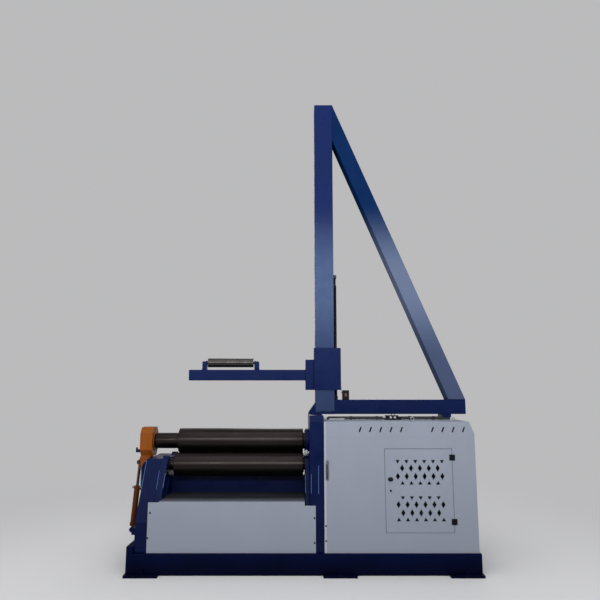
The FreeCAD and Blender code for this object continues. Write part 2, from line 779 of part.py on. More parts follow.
# Door: a pan of sheet with two groups of diamond vents, its leaves, its lock and its keyhole
def build_door():
    front = -half_depth
    skin = (front, front + s.door_skin)
    across = (door_left, door_right)
    upright = (door_bottom, door_top)
    panel = prism("XZ", *skin, [
        (across[0], upright[0]), (across[1], upright[0]), (across[1], upright[1]), (across[0], upright[1])])
    half = s.vent_width / 2
    tall = s.vent_half_height
    few = s.vent_columns - 1
    vent_left = door_left + s.vent_inset
    for drop, wide_first in ((s.upper_vent_drop, True), (s.lower_vent_drop, False)):
        for row in range(4):
            wide = wide_first == (row % 2 == 0)
            x = vent_left if wide else vent_left + s.vent_pitch / 2
            z = door_top - drop - row * s.vent_row_pitch
            corners = [(x - half, z), (x, z - tall), (x + half, z), (x, z + tall)]
            if row == 0:
                corners = corners[:3]
            if row == 3:
                corners = [corners[0], corners[2], corners[3]]
            row_of_holes(panel, skin, corners, s.vent_columns if wide else few, s.vent_pitch)
    rim = cut(box(across, (skin[1], front + s.door_depth), upright),
              box((across[0] + s.door_skin, across[1] - s.door_skin), (skin[1] - 1, front + s.door_depth + 1),
                  (upright[0] + s.door_skin, upright[1] - s.door_skin)))
    node(fuse(panel, rim), "cabinet_door")
    axis_x = door_right + s.door_gap / 2
    axis_y = front - s.hinge_axis_stand_off
    reach = s.hinge_size / 2
    leaf = (front - s.hinge_leaf_thickness, front)
    clear = s.hinge_knuckle_radius
    moving = []
    fixed = []
    for height in (door_top - s.upper_hinge_drop, door_bottom + s.lower_hinge_rise):
        low = height - reach
        high = height + reach
        moving.append(fuse(box((axis_x - reach, axis_x - clear), leaf, (low, high)),
                           box((axis_x - clear - 1, axis_x), (axis_y, leaf[1] - 2), (height + 0.5, high)),
                           rod("Z", height + 0.5, high, axis_x, axis_y, s.hinge_knuckle_radius)))
        fixed.append(fuse(box((axis_x + clear, axis_x + reach), leaf, (low, high)),
                          box((axis_x, axis_x + clear + 1), (axis_y, leaf[1] - 2), (low, height)),
                          rod("Z", low, height, axis_x, axis_y, s.hinge_knuckle_radius)))
    node(fuse(*moving), "door_hinge_leaves")
    node(fuse(*fixed), "cabinet_hinge_leaves")
    half_lock = (s.lock_width - s.lock_rise) / 2
    radius = s.lock_rise / 2
    plate = (front - s.lock_thickness, front)
    lock_x = door_left + s.lock_inset
    lock_z = door_top - s.lock_drop
    lock = fuse(box((lock_x - half_lock, lock_x + half_lock), plate, (lock_z - radius, lock_z + radius)),
                rod("Y", *plate, lock_x - half_lock, lock_z, radius),
                rod("Y", *plate, lock_x + half_lock, lock_z, radius))
    barrel = rod("Y", front - s.door_skin, front, lock_x, lock_z - s.keyhole_drop, s.keyhole_radius)
    node(fuse(lock, barrel), "door_lock")


# Overhead support: a post on the drive housing, a beam over the cabinet and a long brace
def build_overhead_frame():
    depth = (-frame_half, frame_half)
    plate_top = beam_bottom + s.foot_plate_height
    node(box((post_left, post_right), depth, (plate_top, post_top)), "overhead_post")
    wide = (-frame_half - s.foot_plate_margin, frame_half + s.foot_plate_margin)
    plate = box((drive_face, post_right), wide, (beam_bottom, plate_top))
    gusset = prism("XZ", *depth, [
        (drive_face, plate_top), (post_left, plate_top), (post_left, plate_top + s.foot_gusset_height)])
    node(fuse(plate, gusset), "post_foot")
    node(box((post_right, beam_end), depth, (beam_bottom, beam_top)), "overhead_beam")
    foot_left = cabinet_right - s.beam_foot_inset
    node(box((foot_left, foot_left + s.beam_foot_length), depth, (cabinet_top, beam_bottom)), "beam_foot")
    slope = s.post_height / (beam_end - post_right)
    brace = prism("XZ", *depth, [
        (post_right, post_top), (post_right, post_top - s.brace_width * slope),
        (beam_end - s.brace_width, beam_top), (beam_end, beam_top)])
    node(brace, "overhead_brace")
    switch_left = post_right + s.switch_inset
    node(box((switch_left, switch_left + s.switch_width), (-frame_half, s.switch_depth - frame_half),
             (beam_top, beam_top + s.switch_height)), "limit_switch_box")


# Lift carriage: a square sleeve round the post with a bracket and an arm, lifted by a slim cylinder
def build_lift():
    gap = s.slide_clearance
    wall = s.carriage_wall
    height = (carriage_bottom, carriage_top)
    left = post_left - gap
    right = post_right + s.carriage_right_room
    inner_half = frame_half + gap
    outer_half = inner_half + wall
    sleeve = box((left - wall, right + wall), (-outer_half, outer_half), height)
    room = box((left, right), (-inner_half, inner_half), (height[0] - 1, height[1] + 1))
    node(cut(sleeve, room), "lift_carriage")
    plate_right = bracket_left + s.bracket_plate
    bracket_height = (carriage_bottom, carriage_bottom + s.bracket_height)
    plate = box((bracket_left, plate_right), (-s.bracket_half_width, s.bracket_half_width), bracket_height)
    ribs = [box((plate_right, left - wall), span, bracket_height)
            for span in both_sides(s.bracket_half_width - s.bracket_rib, s.bracket_half_width)]
    node(fuse(plate, *ribs), "arm_bracket")
    half_arm = s.arm_width / 2
    node(box((arm_left, bracket_left), (-half_arm, half_arm), (arm_bottom, arm_top)), "support_arm")

    ram_x = post_right + s.lift_ram_offset
    ram_top = beam_top + s.lift_ram_length
    foot_top = beam_top + s.lift_foot_height
    barrel = rod("Z", beam_top, ram_top, ram_x, ZERO, s.lift_ram_radius)
    half_foot = s.lift_ram_offset - 1
    foot = box((ram_x - half_foot, ram_x + half_foot), (-half_foot, half_foot), (beam_top, foot_top))
    bore = rod("Z", foot_top + s.lift_bore_floor, ram_top + 1, ram_x, ZERO,
               s.lift_rod_radius + s.shaft_clearance)
    node(cut(fuse(barrel, foot), bore), "lift_cylinder")
    head_low = ram_top + s.lift_head_gap
    head_high = head_low + s.lift_head_height
    half_strap = s.lift_strap_width / 2
    strap_y = (outer_half, outer_half + s.lift_strap_thickness)
    strap_x = (ram_x - half_strap, ram_x + half_strap)
    lift_rod = rod("Z", beam_top + s.lift_rod_rise, head_low + 1, ram_x, ZERO, s.lift_rod_radius)
    crosshead = box(strap_x, (-half_strap, strap_y[1]), (head_low, head_high))
    strap = box(strap_x, strap_y, (carriage_top - s.lift_strap_lap, head_high))
    node(fuse(lift_rod, crosshead, strap), "lift_link")


# Support roller and the two ears that carry it on the arm
def build_support_roller():
    z = arm_top + s.support_roller_lift
    left = arm_left + s.support_roller_inset
    right = left + s.support_roller_length
    barrel = rod("X", left, right, ZERO, z, s.support_roller_radius)
    reach = s.support_ear_gap + s.support_ear_thickness + s.support_axle_end
    axle = rod("X", left - reach, right + reach, ZERO, z, s.support_axle_radius)
    node(fuse(barrel, axle), "support_roller")
    half = s.support_ear_width / 2
    ears = []
    for side, end in ((-1, left), (1, right)):
        near = end + side * s.support_ear_gap
        far = near + side * s.support_ear_thickness
        toe = near + side * s.support_ear_foot
        spans = [(far, near), (toe, near)] if side < 0 else [(near, far), (near, toe)]
        ear = box(spans[0], (-half, half), (arm_top, z + s.support_ear_margin))
        foot = box(spans[1], (-half, half), (arm_top, arm_top + s.support_ear_foot_height))
        hole = rod("X", spans[1][0] - 1, spans[1][1] + 1, ZERO, z, s.support_axle_radius + s.shaft_clearance)
        ears.append(cut(fuse(ear, foot), hole))
    node(fuse(*ears), "support_roller_ears")


build_base()
build_housings()
build_guides("idle_guides", idle_face, idle_guide_face)
build_guides("drive_guides", drive_guide_face, drive_face)
for place_word, side in (("front", -1), ("rear", 1)):
    build_block(f"{place_word}_roll_idle_bearing", side, idle_face + s.slide_clearance, idle_guide_face)
    build_block(f"{place_word}_roll_drive_bearing", side, drive_guide_face, drive_face - s.slide_clearance)
    build_side_roll(f"{place_word}_roll", side)
build_top_roll()
build_bay()
build_drop_hinge()
build_yoke()
build_drop_cylinder()
build_cabinet()
build_door()
build_overhead_frame()
build_lift()
build_support_roller()

doc.recompute()
for feature in doc.Objects:
    if "Invalid" in feature.State or "Error" in feature.State:
        raise RuntimeError(f"{feature.Name} ({feature.Label}) failed: {feature.State}")
os.makedirs("parts", exist_ok=True)
for feature in nodes:
    if feature.Shape.isNull() or not feature.Shape.isValid():
        raise RuntimeError(f"{feature.Label} has no valid shape")
    feature.Shape.exportStep(f"parts/{feature.Label}.step")
    bounds = feature.Shape.BoundBox
    print(feature.Label, len(feature.Shape.Solids),
          [round(value, 1) for value in (bounds.XMin, bounds.XMax, bounds.YMin, bounds.YMax,
                                         bounds.ZMin, bounds.ZMax)],
          round(feature.Shape.Volume / 1e6, 3))
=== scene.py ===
"""Looks of the conical plate rolling machine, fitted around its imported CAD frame."""

import json
import logging
import math
from collections.abc import Sequence
from dataclasses import dataclass, field
from enum import Enum
from typing import Any

import bmesh
import bpy
import numpy as np
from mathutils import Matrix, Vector

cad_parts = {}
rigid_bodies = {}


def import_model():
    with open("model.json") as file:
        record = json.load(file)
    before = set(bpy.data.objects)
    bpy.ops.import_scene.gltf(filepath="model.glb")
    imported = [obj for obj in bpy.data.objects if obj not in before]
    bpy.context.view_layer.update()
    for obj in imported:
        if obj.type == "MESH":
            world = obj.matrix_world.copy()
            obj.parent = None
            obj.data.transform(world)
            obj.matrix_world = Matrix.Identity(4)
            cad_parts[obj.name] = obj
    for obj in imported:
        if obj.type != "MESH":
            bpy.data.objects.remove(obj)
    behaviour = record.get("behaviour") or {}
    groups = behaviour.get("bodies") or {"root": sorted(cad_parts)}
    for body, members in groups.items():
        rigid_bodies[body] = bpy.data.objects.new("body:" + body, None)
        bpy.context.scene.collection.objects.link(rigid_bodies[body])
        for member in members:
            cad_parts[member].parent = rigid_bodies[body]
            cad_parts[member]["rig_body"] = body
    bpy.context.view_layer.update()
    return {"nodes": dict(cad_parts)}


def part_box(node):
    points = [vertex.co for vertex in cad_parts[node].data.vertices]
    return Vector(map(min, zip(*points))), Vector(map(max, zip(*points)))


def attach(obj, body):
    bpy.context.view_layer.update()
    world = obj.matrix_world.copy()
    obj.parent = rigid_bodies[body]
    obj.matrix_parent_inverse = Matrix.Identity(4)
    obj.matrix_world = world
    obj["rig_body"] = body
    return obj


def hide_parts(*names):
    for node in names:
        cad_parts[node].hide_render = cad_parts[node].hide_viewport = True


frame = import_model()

LOG = logging.getLogger("rolling_machine")
Array = np.ndarray
Rows = Array | Sequence[tuple[float, ...]]
Point = tuple[float, float, float]
Colour = tuple[float, float, float]

TAU = 2 * math.pi
BEAD_RIPPLE = 0.14
HEAD_SINK = 0.001
CAD_CREASE = 30.0
# Metres within which points are one and an edge has no length, and degrees that count as flat
SAME_POINT = 2e-6
NO_LENGTH = 1e-6
FLAT_ANGLE = 0.4


# Shapes


class Head(Enum):
    """Kinds of fastener head."""

    BUTTON = "button"
    SOCKET = "socket"
    HEX = "hex"


@dataclass
class Shell:
    """Points and faces gathered for one mesh."""

    points: list[Array] = field(default_factory=list)
    faces: list[Array] = field(default_factory=list)
    count: int = 0

    def add(self, points: Array, *faces: Array) -> "Shell":
        """Adds a block of points with the faces that index into it.

        Args:
            points: The block's points, one row each.
            faces: Index arrays, one row per face.

        Returns:
            The shell itself, so that calls can be chained.
        """
        self.points.append(points.reshape(-1, 3))
        self.faces.extend(np.atleast_2d(block) + self.count for block in faces)
        self.count += len(self.points[-1])
        return self

    def join(self, other: "Shell") -> "Shell":
        """Adds all of another shell.

        Args:
            other: The shell whose points and faces are taken over.

        Returns:
            The shell itself.
        """
        return self.add(np.concatenate(other.points), *other.faces)


def grid_faces(rows: int, columns: int, wrap: bool) -> Array:
    """Four-sided faces of a grid of points, row by row.

    Args:
        rows: Number of grid rows.
        columns: Number of points in a row.
        wrap: Whether the last column joins the first.

    Returns:
        One row of four indices per face.
    """
    across = np.arange(columns if wrap else columns - 1)
    down = np.arange(rows - 1)[:, None]
    here = down * columns + across
    right = down * columns + (across + 1) % columns
    return np.stack([here, right, right + columns, here + columns], axis=-1).reshape(-1, 4)


def unit(vector: Array) -> Array:
    """Vectors scaled to length one along their last axis."""
    return vector / np.linalg.norm(vector, axis=-1, keepdims=True)


def square_to(direction: Array) -> tuple[Array, Array]:
    """Two unit vectors square to a direction and to each other.

    Args:
        direction: The given vector, of length one.

    Returns:
        The two vectors.
    """
    helper = np.array((0.0, 0.0, 1.0)) if abs(direction[2]) < 0.9 else np.array((1.0, 0.0, 0.0))
    first = unit(np.cross(helper, direction))
    return first, np.cross(direction, first)


def round_corners(points: Rows, radius: float | Array, steps: int = 5, closed: bool = True) -> Array:
    """Rounds the corners of a chain of straight lines.

    Each corner P becomes B(t) = (1-t)^2 A + 2t(1-t) P + t^2 C, where A and C lie on the two
    lines at the cut distance from P, for t from 0 to 1.

    Args:
        points: The corners, one row each, in two or three dimensions.
        radius: Cut distance, one for all corners or one each.
        steps: Points that stand for each corner.
        closed: Whether the last corner joins the first.

    Returns:
        The rounded chain.
    """
    points = np.asarray(points, float)
    cut = np.broadcast_to(np.asarray(radius, float), (len(points),)).copy()
    before = np.roll(points, 1, axis=0)
    after = np.roll(points, -1, axis=0)
    if not closed:
        before[0], after[-1] = points[1], points[-2]
        cut[0] = cut[-1] = 0.0
    start = points + unit(before - points) * cut[:, None]
    end = points + unit(after - points) * cut[:, None]
    t = np.linspace(0, 1, steps)[None, :, None]
    curve = (1 - t) ** 2 * start[:, None] + 2 * t * (1 - t) * points[:, None] + t**2 * end[:, None]
    chain = curve.reshape(-1, points.shape[1])
    keep = np.ones(len(chain), bool)
    keep[1:] = np.linalg.norm(np.diff(chain, axis=0), axis=1) > NO_LENGTH
    return chain[keep]


def revolve(profile: Rows, centre: Point, axis: Point, sides: int = 48) -> Shell:
    """Carries a profile round an axis.

    P(t, a) = centre + h(t) w + r(t) (u cos a + v sin a), with w along the axis and u, v square to it.

    Args:
        profile: Rows of (h, r): distance along the axis and radius. It starts and ends on the axis.
        centre: Where h is zero.
        axis: Direction of the axis.
        sides: Number of faces round.

    Returns:
        The closed surface.
    """
    profile = np.asarray(profile, float)
    w = unit(np.asarray(axis, float))
    u, v = square_to(w)
    angle = np.linspace(0, TAU, sides, endpoint=False)
    ring = np.cos(angle)[:, None] * u + np.sin(angle)[:, None] * v
    along = profile[:, 0][:, None, None] * w
    out = profile[:, 1][:, None, None] * ring[None]
    return Shell().add(np.asarray(centre) + along + out, grid_faces(len(profile), sides, True))


def tube(path: Array, radius: float, sides: int = 12, ripple: float = 0.0, pitch: float = 0.006) -> Shell:
    """Carries a circle along a path, with an even ripple for a weld bead.

    P(s, a) = path(s) + R(s) (n cos a + b sin a), where n and b are square to the path and
    R(s) = radius (1 + ripple sin(2 pi s / pitch)), shrinking to nothing at both ends.

    Args:
        path: Points of the path.
        radius: Radius of the circle.
        sides: Faces round.
        ripple: Height of the ripple as a share of the radius.
        pitch: Length of one ripple.

    Returns:
        The closed tube.
    """
    tangent = unit(np.gradient(path, axis=0))
    helper = np.array((0.0, 0.0, 1.0)) if abs(tangent[:, 2]).max() < 0.9 else np.array((0.37, 0.93, 0.0))
    normal = unit(np.cross(helper, tangent))
    binormal = np.cross(tangent, normal)
    length = np.r_[0, np.cumsum(np.linalg.norm(np.diff(path, axis=0), axis=1))]
    size = radius * (1 + ripple * np.sin(TAU * length / pitch))
    angle = np.linspace(0, TAU, sides, endpoint=False)
    across = np.cos(angle)[None, :, None] * normal[:, None]
    across = across + np.sin(angle)[None, :, None] * binormal[:, None]
    body = path[:, None] + size[:, None, None] * across
    first = np.broadcast_to(path[0], body[:1].shape)
    last = np.broadcast_to(path[-1], body[:1].shape)
    return Shell().add(np.concatenate([first, body, last]), grid_faces(len(path) + 2, sides, True))


PLANE_AXES = {"YZ": (1, 2, 0), "XZ": (0, 2, 1), "XY": (0, 1, 2)}


def prism(plane: str, low: float, high: float, outline: Array) -> Shell:
    """A flat outline carried straight from one level to another.

    Args:
        plane: YZ, XZ or XY, the plane that the outline lies in.
        low: First level on the third axis.
        high: Last level.
        outline: The outline's corners in the plane.

    Returns:
        The closed solid.
    """
    first, second, third = PLANE_AXES[plane]
    count = len(outline)
    points = np.zeros((2, count, 3))
    points[:, :, first] = outline[:, 0]
    points[:, :, second] = outline[:, 1]
    points[:, :, third] = np.array((low, high))[:, None]
    caps = np.arange(2 * count).reshape(2, count)
    return Shell().add(points, grid_faces(2, count, True), caps[:1], caps[1:])


def block(low: Point, high: Point, corner: float = 0.0, plane: str = "XY") -> Shell:
    """A box between two corners, rounded round its third axis.

    Args:
        low: Lowest corner.
        high: Highest corner.
        corner: Cut distance of the rounding.
        plane: The plane whose outline is rounded.

    Returns:
        The closed box.
    """
    first, second, third = PLANE_AXES[plane]
    outline = np.array([(low[first], low[second]), (high[first], low[second]),
                        (high[first], high[second]), (low[first], high[second])])
    if corner:
        outline = round_corners(outline, corner)
    return prism(plane, low[third], high[third], outline)


def head_profile(head: Head, radius: float) -> Array:
    """Half outline of a fastener head, from its seat up to its middle.

    Args:
        head: Kind of head.
        radius: Radius of the head.

    Returns:
        Rows of (height, radius).
    """
    if head is Head.BUTTON:
        angle = np.linspace(0, 0.38 * math.pi, 7)
        dome = np.stack([0.55 * radius * np.sin(angle), radius * np.cos(angle)], axis=1)
        socket = radius * np.array([(0.5, 0.3), (0.25, 0.28), (0.25, 0.0)])
        return np.concatenate([[(-HEAD_SINK, 0.0), (-HEAD_SINK, radius)], dome, socket])
    tall = radius * (0.95 if head is Head.SOCKET else 0.7)
    core = 0.5 if head is Head.SOCKET else 0.0
    return np.array([
        (-HEAD_SINK, 0.0), (-HEAD_SINK, radius), (tall - 0.14 * radius, radius), (tall, 0.87 * radius),
        (tall, core * radius), (tall - core * radius, core * radius * 0.98), (tall - core * radius, 0.0)])


def fasteners(head: Head, radius: float, places: Rows, axis: Point, washer: float = 0.0) -> Shell:
    """Equal bolt heads at several places, all along one axis.

    Args:
        head: Kind of head.
        radius: Radius of the head.
        places: Where each head sits, one row each.
        axis: Direction in which the heads stand up.
        washer: Radius of the washer under each, or zero.

    Returns:
        All the heads in one shell.
    """
    axis_unit = unit(np.asarray(axis, float))
    rise = 0.22 * radius if washer else 0.0
    origin = tuple(axis_unit * rise)
    one = revolve(head_profile(head, radius), origin, axis, 6 if head is Head.HEX else 18)
    if washer:
        flat = [(-HEAD_SINK, 0), (-HEAD_SINK, washer), (0.8 * rise, washer), (rise, 0.94 * washer), (rise, 0)]
        one.join(revolve(flat, (0, 0, 0), axis, 24))
    points = np.concatenate(one.points)
    places = np.asarray(places, float)
    shell = Shell()
    steps = np.arange(len(places))[:, None, None] * len(points)
    faces = np.concatenate(one.faces)
    return shell.add(places[:, None] + points[None], (faces[None] + steps).reshape(-1, 4))


def circle_of(count: int, radius: float, centre: Point, axis: Point, turn: float = 0.0) -> Array:
    """Places evenly round a circle.

    Args:
        count: How many.
        radius: Radius of the circle.
        centre: Its centre.
        axis: Its axis.
        turn: Share of one step by which the first place is turned.

    Returns:
        One row per place: centre + radius (u cos a + v sin a).
    """
    u, v = square_to(unit(np.asarray(axis, float)))
    angle = (np.arange(count) + turn) * TAU / count
    return np.asarray(centre) + radius * (np.cos(angle)[:, None] * u + np.sin(angle)[:, None] * v)


def line_of(*ends: Point, spacing: float = 0.0015) -> Array:
    """Closely spaced points along a chain of straight lines.

    Args:
        ends: Ends of the lines.
        spacing: Distance between neighbours.

    Returns:
        One row per point.
    """
    corners = np.asarray(ends, float)
    length = np.r_[0, np.cumsum(np.linalg.norm(np.diff(corners, axis=0), axis=1))]
    at = np.linspace(0, length[-1], max(2, int(length[-1] / spacing)))
    return np.stack([np.interp(at, length, corners[:, axis]) for axis in range(3)], axis=1)


# Pieces


def close_up(mesh: bpy.types.Mesh, flatten: bool, outward: bool) -> None:
    """Merges doubled points and tidies the faces of a mesh.

    Args:
        mesh: The mesh that is changed.
        flatten: Whether flat neighbours become one face.
        outward: Whether the normals are worked out again.
    """
    work = bmesh.new()
    work.from_mesh(mesh)
    bmesh.ops.remove_doubles(work, verts=work.verts, dist=SAME_POINT)
    bmesh.ops.dissolve_degenerate(work, edges=work.edges, dist=NO_LENGTH)
    if flatten:
        bmesh.ops.dissolve_limit(work, angle_limit=math.radians(FLAT_ANGLE), verts=work.verts,
                                 edges=work.edges)
    if outward:
        bmesh.ops.recalc_face_normals(work, faces=work.faces)
    work.to_mesh(mesh)
    work.free()


def finish_piece(piece: bpy.types.Object, finish: "Finish", body: str, bevel: float, segments: int,
                 crease: float) -> None:
    """Gives a piece its finish, soft edges and smooth shading, and ties it to its body.

    Args:
        piece: The new object.
        finish: Its finish.
        body: The CAD body that it rides on.
        bevel: Width of the softened edges, or zero.
        segments: Faces across each softened edge.
        crease: Angle in degrees past which an edge stays sharp.
    """
    mesh = piece.data
    mesh.materials.clear()
    mesh.materials.append(finish.material())
    mesh.shade_smooth()
    mesh.set_sharp_from_angle(angle=math.radians(crease))
    if bevel:
        edge = piece.modifiers.new("soft_edges", "BEVEL")
        edge.width = bevel
        edge.segments = segments
        edge.limit_method = "ANGLE"
        edge.angle_limit = math.radians(crease)
        edge.harden_normals = True
    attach(piece, body)


def mesh_of(name: str, shell: Shell) -> bpy.types.Mesh:
    """Puts a shell's points and faces into a new mesh.

    Args:
        name: Name of the mesh.
        shell: Its points and faces.

    Returns:
        The mesh.
    """
    loops = np.concatenate([faces.ravel() for faces in shell.faces])
    sizes = np.concatenate([np.full(len(faces), faces.shape[1]) for faces in shell.faces])
    mesh = bpy.data.meshes.new(name)
    mesh.vertices.add(shell.count)
    mesh.vertices.foreach_set("co", np.concatenate(shell.points).astype(np.float32).ravel())
    mesh.loops.add(len(loops))
    mesh.loops.foreach_set("vertex_index", loops.astype(np.int32))
    mesh.polygons.add(len(sizes))
    mesh.polygons.foreach_set("loop_start", np.r_[0, np.cumsum(sizes)[:-1]].astype(np.int32))
    mesh.polygons.foreach_set("loop_total", sizes.astype(np.int32))
    mesh.update(calc_edges=True)
    mesh.validate()
    return mesh


def place(name: str, mesh: bpy.types.Mesh) -> bpy.types.Object:
    """Stands a mesh in the scene as an object at the origin.

    Args:
        name: Name of the object.
        mesh: Its mesh.

    Returns:
        The object.
    """
    piece = bpy.data.objects.new(name, mesh)
    bpy.context.scene.collection.objects.link(piece)
    return piece


def make_piece(name: str, shell: Shell, finish: "Finish", body: str, replaces: tuple[str, ...] = (),
               bevel: float = 0.0, crease: float = 35.0) -> None:
    """Makes one object from a shell.

    Args:
        name: Name of the piece.
        shell: Its points and faces.
        finish: Its finish.
        body: The CAD body that it rides on.
        replaces: CAD nodes that it stands for.
        bevel: Width of the softened edges.
        crease: Angle in degrees past which an edge stays sharp.
    """
    mesh = mesh_of(name, shell)
    close_up(mesh, flatten=False, outward=True)
    piece = place(name, mesh)
    finish_piece(piece, finish, body, bevel, 2, crease)
    if replaces:
        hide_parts(*replaces)
    LOG.info("%s: %d faces", name, len(mesh.polygons))


def dress(node: str, finish: "Finish", bevel: float, segments: int = 2) -> None:
    """Stands a finished copy of a CAD node in its place, with soft edges.

    Args:
        node: Name of the CAD node.
        finish: Its finish.
        bevel: Width of the softened edges.
        segments: Faces across each softened edge.
    """
    source = frame["nodes"][node]
    mesh = source.data.copy()
    close_up(mesh, flatten=True, outward=False)
    piece = place(f"{node}_finished", mesh)
    finish_piece(piece, finish, source["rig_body"], bevel, segments, CAD_CREASE)
    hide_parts(node)
    LOG.info("%s dressed: %d faces", node, len(mesh.polygons))


# Shader wiring and finishes


class Wiring:
    """Adds nodes to one tree; an input that is a socket is linked, any other is set."""

    def __init__(self, tree: bpy.types.NodeTree) -> None:
        """Starts from a tree's links and nodes."""
        self.tree = tree

    def lead(self, value: Any, node: bpy.types.Node, key: str | int) -> None:
        """Leads a socket or a value into one input of a node.

        Args:
            value: The socket or the value.
            node: The node that takes it.
            key: Name or number of the input.
        """
        socket = node.inputs[key]
        if isinstance(value, bpy.types.NodeSocket):
            self.tree.links.new(value, socket)
        elif socket.type == "RGBA":
            socket.default_value = (*value, 1.0)
        else:
            socket.default_value = value

    def put(self, kind: str, inputs: dict[Any, Any] | None = None, **settings: Any) -> bpy.types.Node:
        """Adds a node.

        Args:
            kind: The node's type name.
            inputs: Input names or numbers with a value or a socket each.
            settings: Properties of the node.

        Returns:
            The node.
        """
        node = self.tree.nodes.new(kind)
        for key, value in settings.items():
            setattr(node, key, value)
        for key, value in (inputs or {}).items():
            self.lead(value, node, key)
        return node

    def where(self) -> bpy.types.NodeSocket:
        """The piece's own Object coordinates."""
        return self.put("ShaderNodeTexCoord").outputs["Object"]

    def axes(self, vector: Any) -> Any:
        """The three parts of a vector."""
        return self.put("ShaderNodeSeparateXYZ", {0: vector}).outputs

    def normal(self) -> bpy.types.NodeSocket:
        """The plain normal of the surface."""
        return self.put("ShaderNodeNewGeometry").outputs["Normal"]

    def math(self, operation: str, first: Any, second: Any = 0.0, clamp: bool = False) -> Any:
        """One Math node; returns its output."""
        given = {0: first, 1: second}
        return self.put("ShaderNodeMath", given, operation=operation, use_clamp=clamp).outputs[0]

    def masked(self, first: Any, second: Any, amount: Any) -> bpy.types.NodeSocket:
        """The product of three values, held between 0 and 1."""
        return self.math("MULTIPLY", self.math("MULTIPLY", first, second), amount, clamp=True)

    def stretch(self, vector: Any, factors: Any) -> bpy.types.NodeSocket:
        """A vector whose parts are multiplied by three factors."""
        return self.put("ShaderNodeVectorMath", {0: vector, 1: factors}, operation="MULTIPLY").outputs[0]

    def tone(self, colour: Colour, shade: Any) -> bpy.types.NodeSocket:
        """A colour made darker or lighter by one factor."""
        return self.put("ShaderNodeVectorMath", {0: colour, "Scale": shade}, operation="SCALE").outputs[0]

    def remap(self, value: Any, low: Any, high: Any, to_low: Any = 0.0, to_high: Any = 1.0) -> Any:
        """Carries a span of values to another span with a smooth step; returns the output."""
        spans = {"Value": value, "From Min": low, "From Max": high, "To Min": to_low, "To Max": to_high}
        return self.put("ShaderNodeMapRange", spans, interpolation_type="SMOOTHSTEP").outputs[0]

    def noise(self, vector: Any, scale: Any, detail: float = 4.0, rough: float = 0.55) -> Any:
        """One Noise Texture node; returns its value."""
        given = {"Vector": vector, "Scale": scale, "Detail": detail, "Roughness": rough}
        return self.put("ShaderNodeTexNoise", given).outputs[0]

    def blend(self, factor: Any, first: Any, second: Any) -> bpy.types.NodeSocket:
        """Mixes two colours; returns the result."""
        return self.put("ShaderNodeMix", {0: factor, 6: first, 7: second}, data_type="RGBA").outputs[2]


def open_group(name: str, inputs: dict[str, float], *outputs: str) -> tuple[Wiring, Any, bpy.types.Node]:
    """Starts a shader node group with named number inputs and outputs.

    Args:
        name: The group's name.
        inputs: Input names with their first values.
        outputs: Output names.

    Returns:
        The wiring, the sockets that give the inputs and the node that takes the outputs.
    """
    tree = bpy.data.node_groups.new(name, "ShaderNodeTree")
    for key, value in inputs.items():
        tree.interface.new_socket(key, in_out="INPUT", socket_type="NodeSocketFloat").default_value = value
    for key in outputs:
        tree.interface.new_socket(key, in_out="OUTPUT", socket_type="NodeSocketFloat")
    wiring = Wiring(tree)
    return wiring, wiring.put("NodeGroupInput").outputs, wiring.put("NodeGroupOutput")


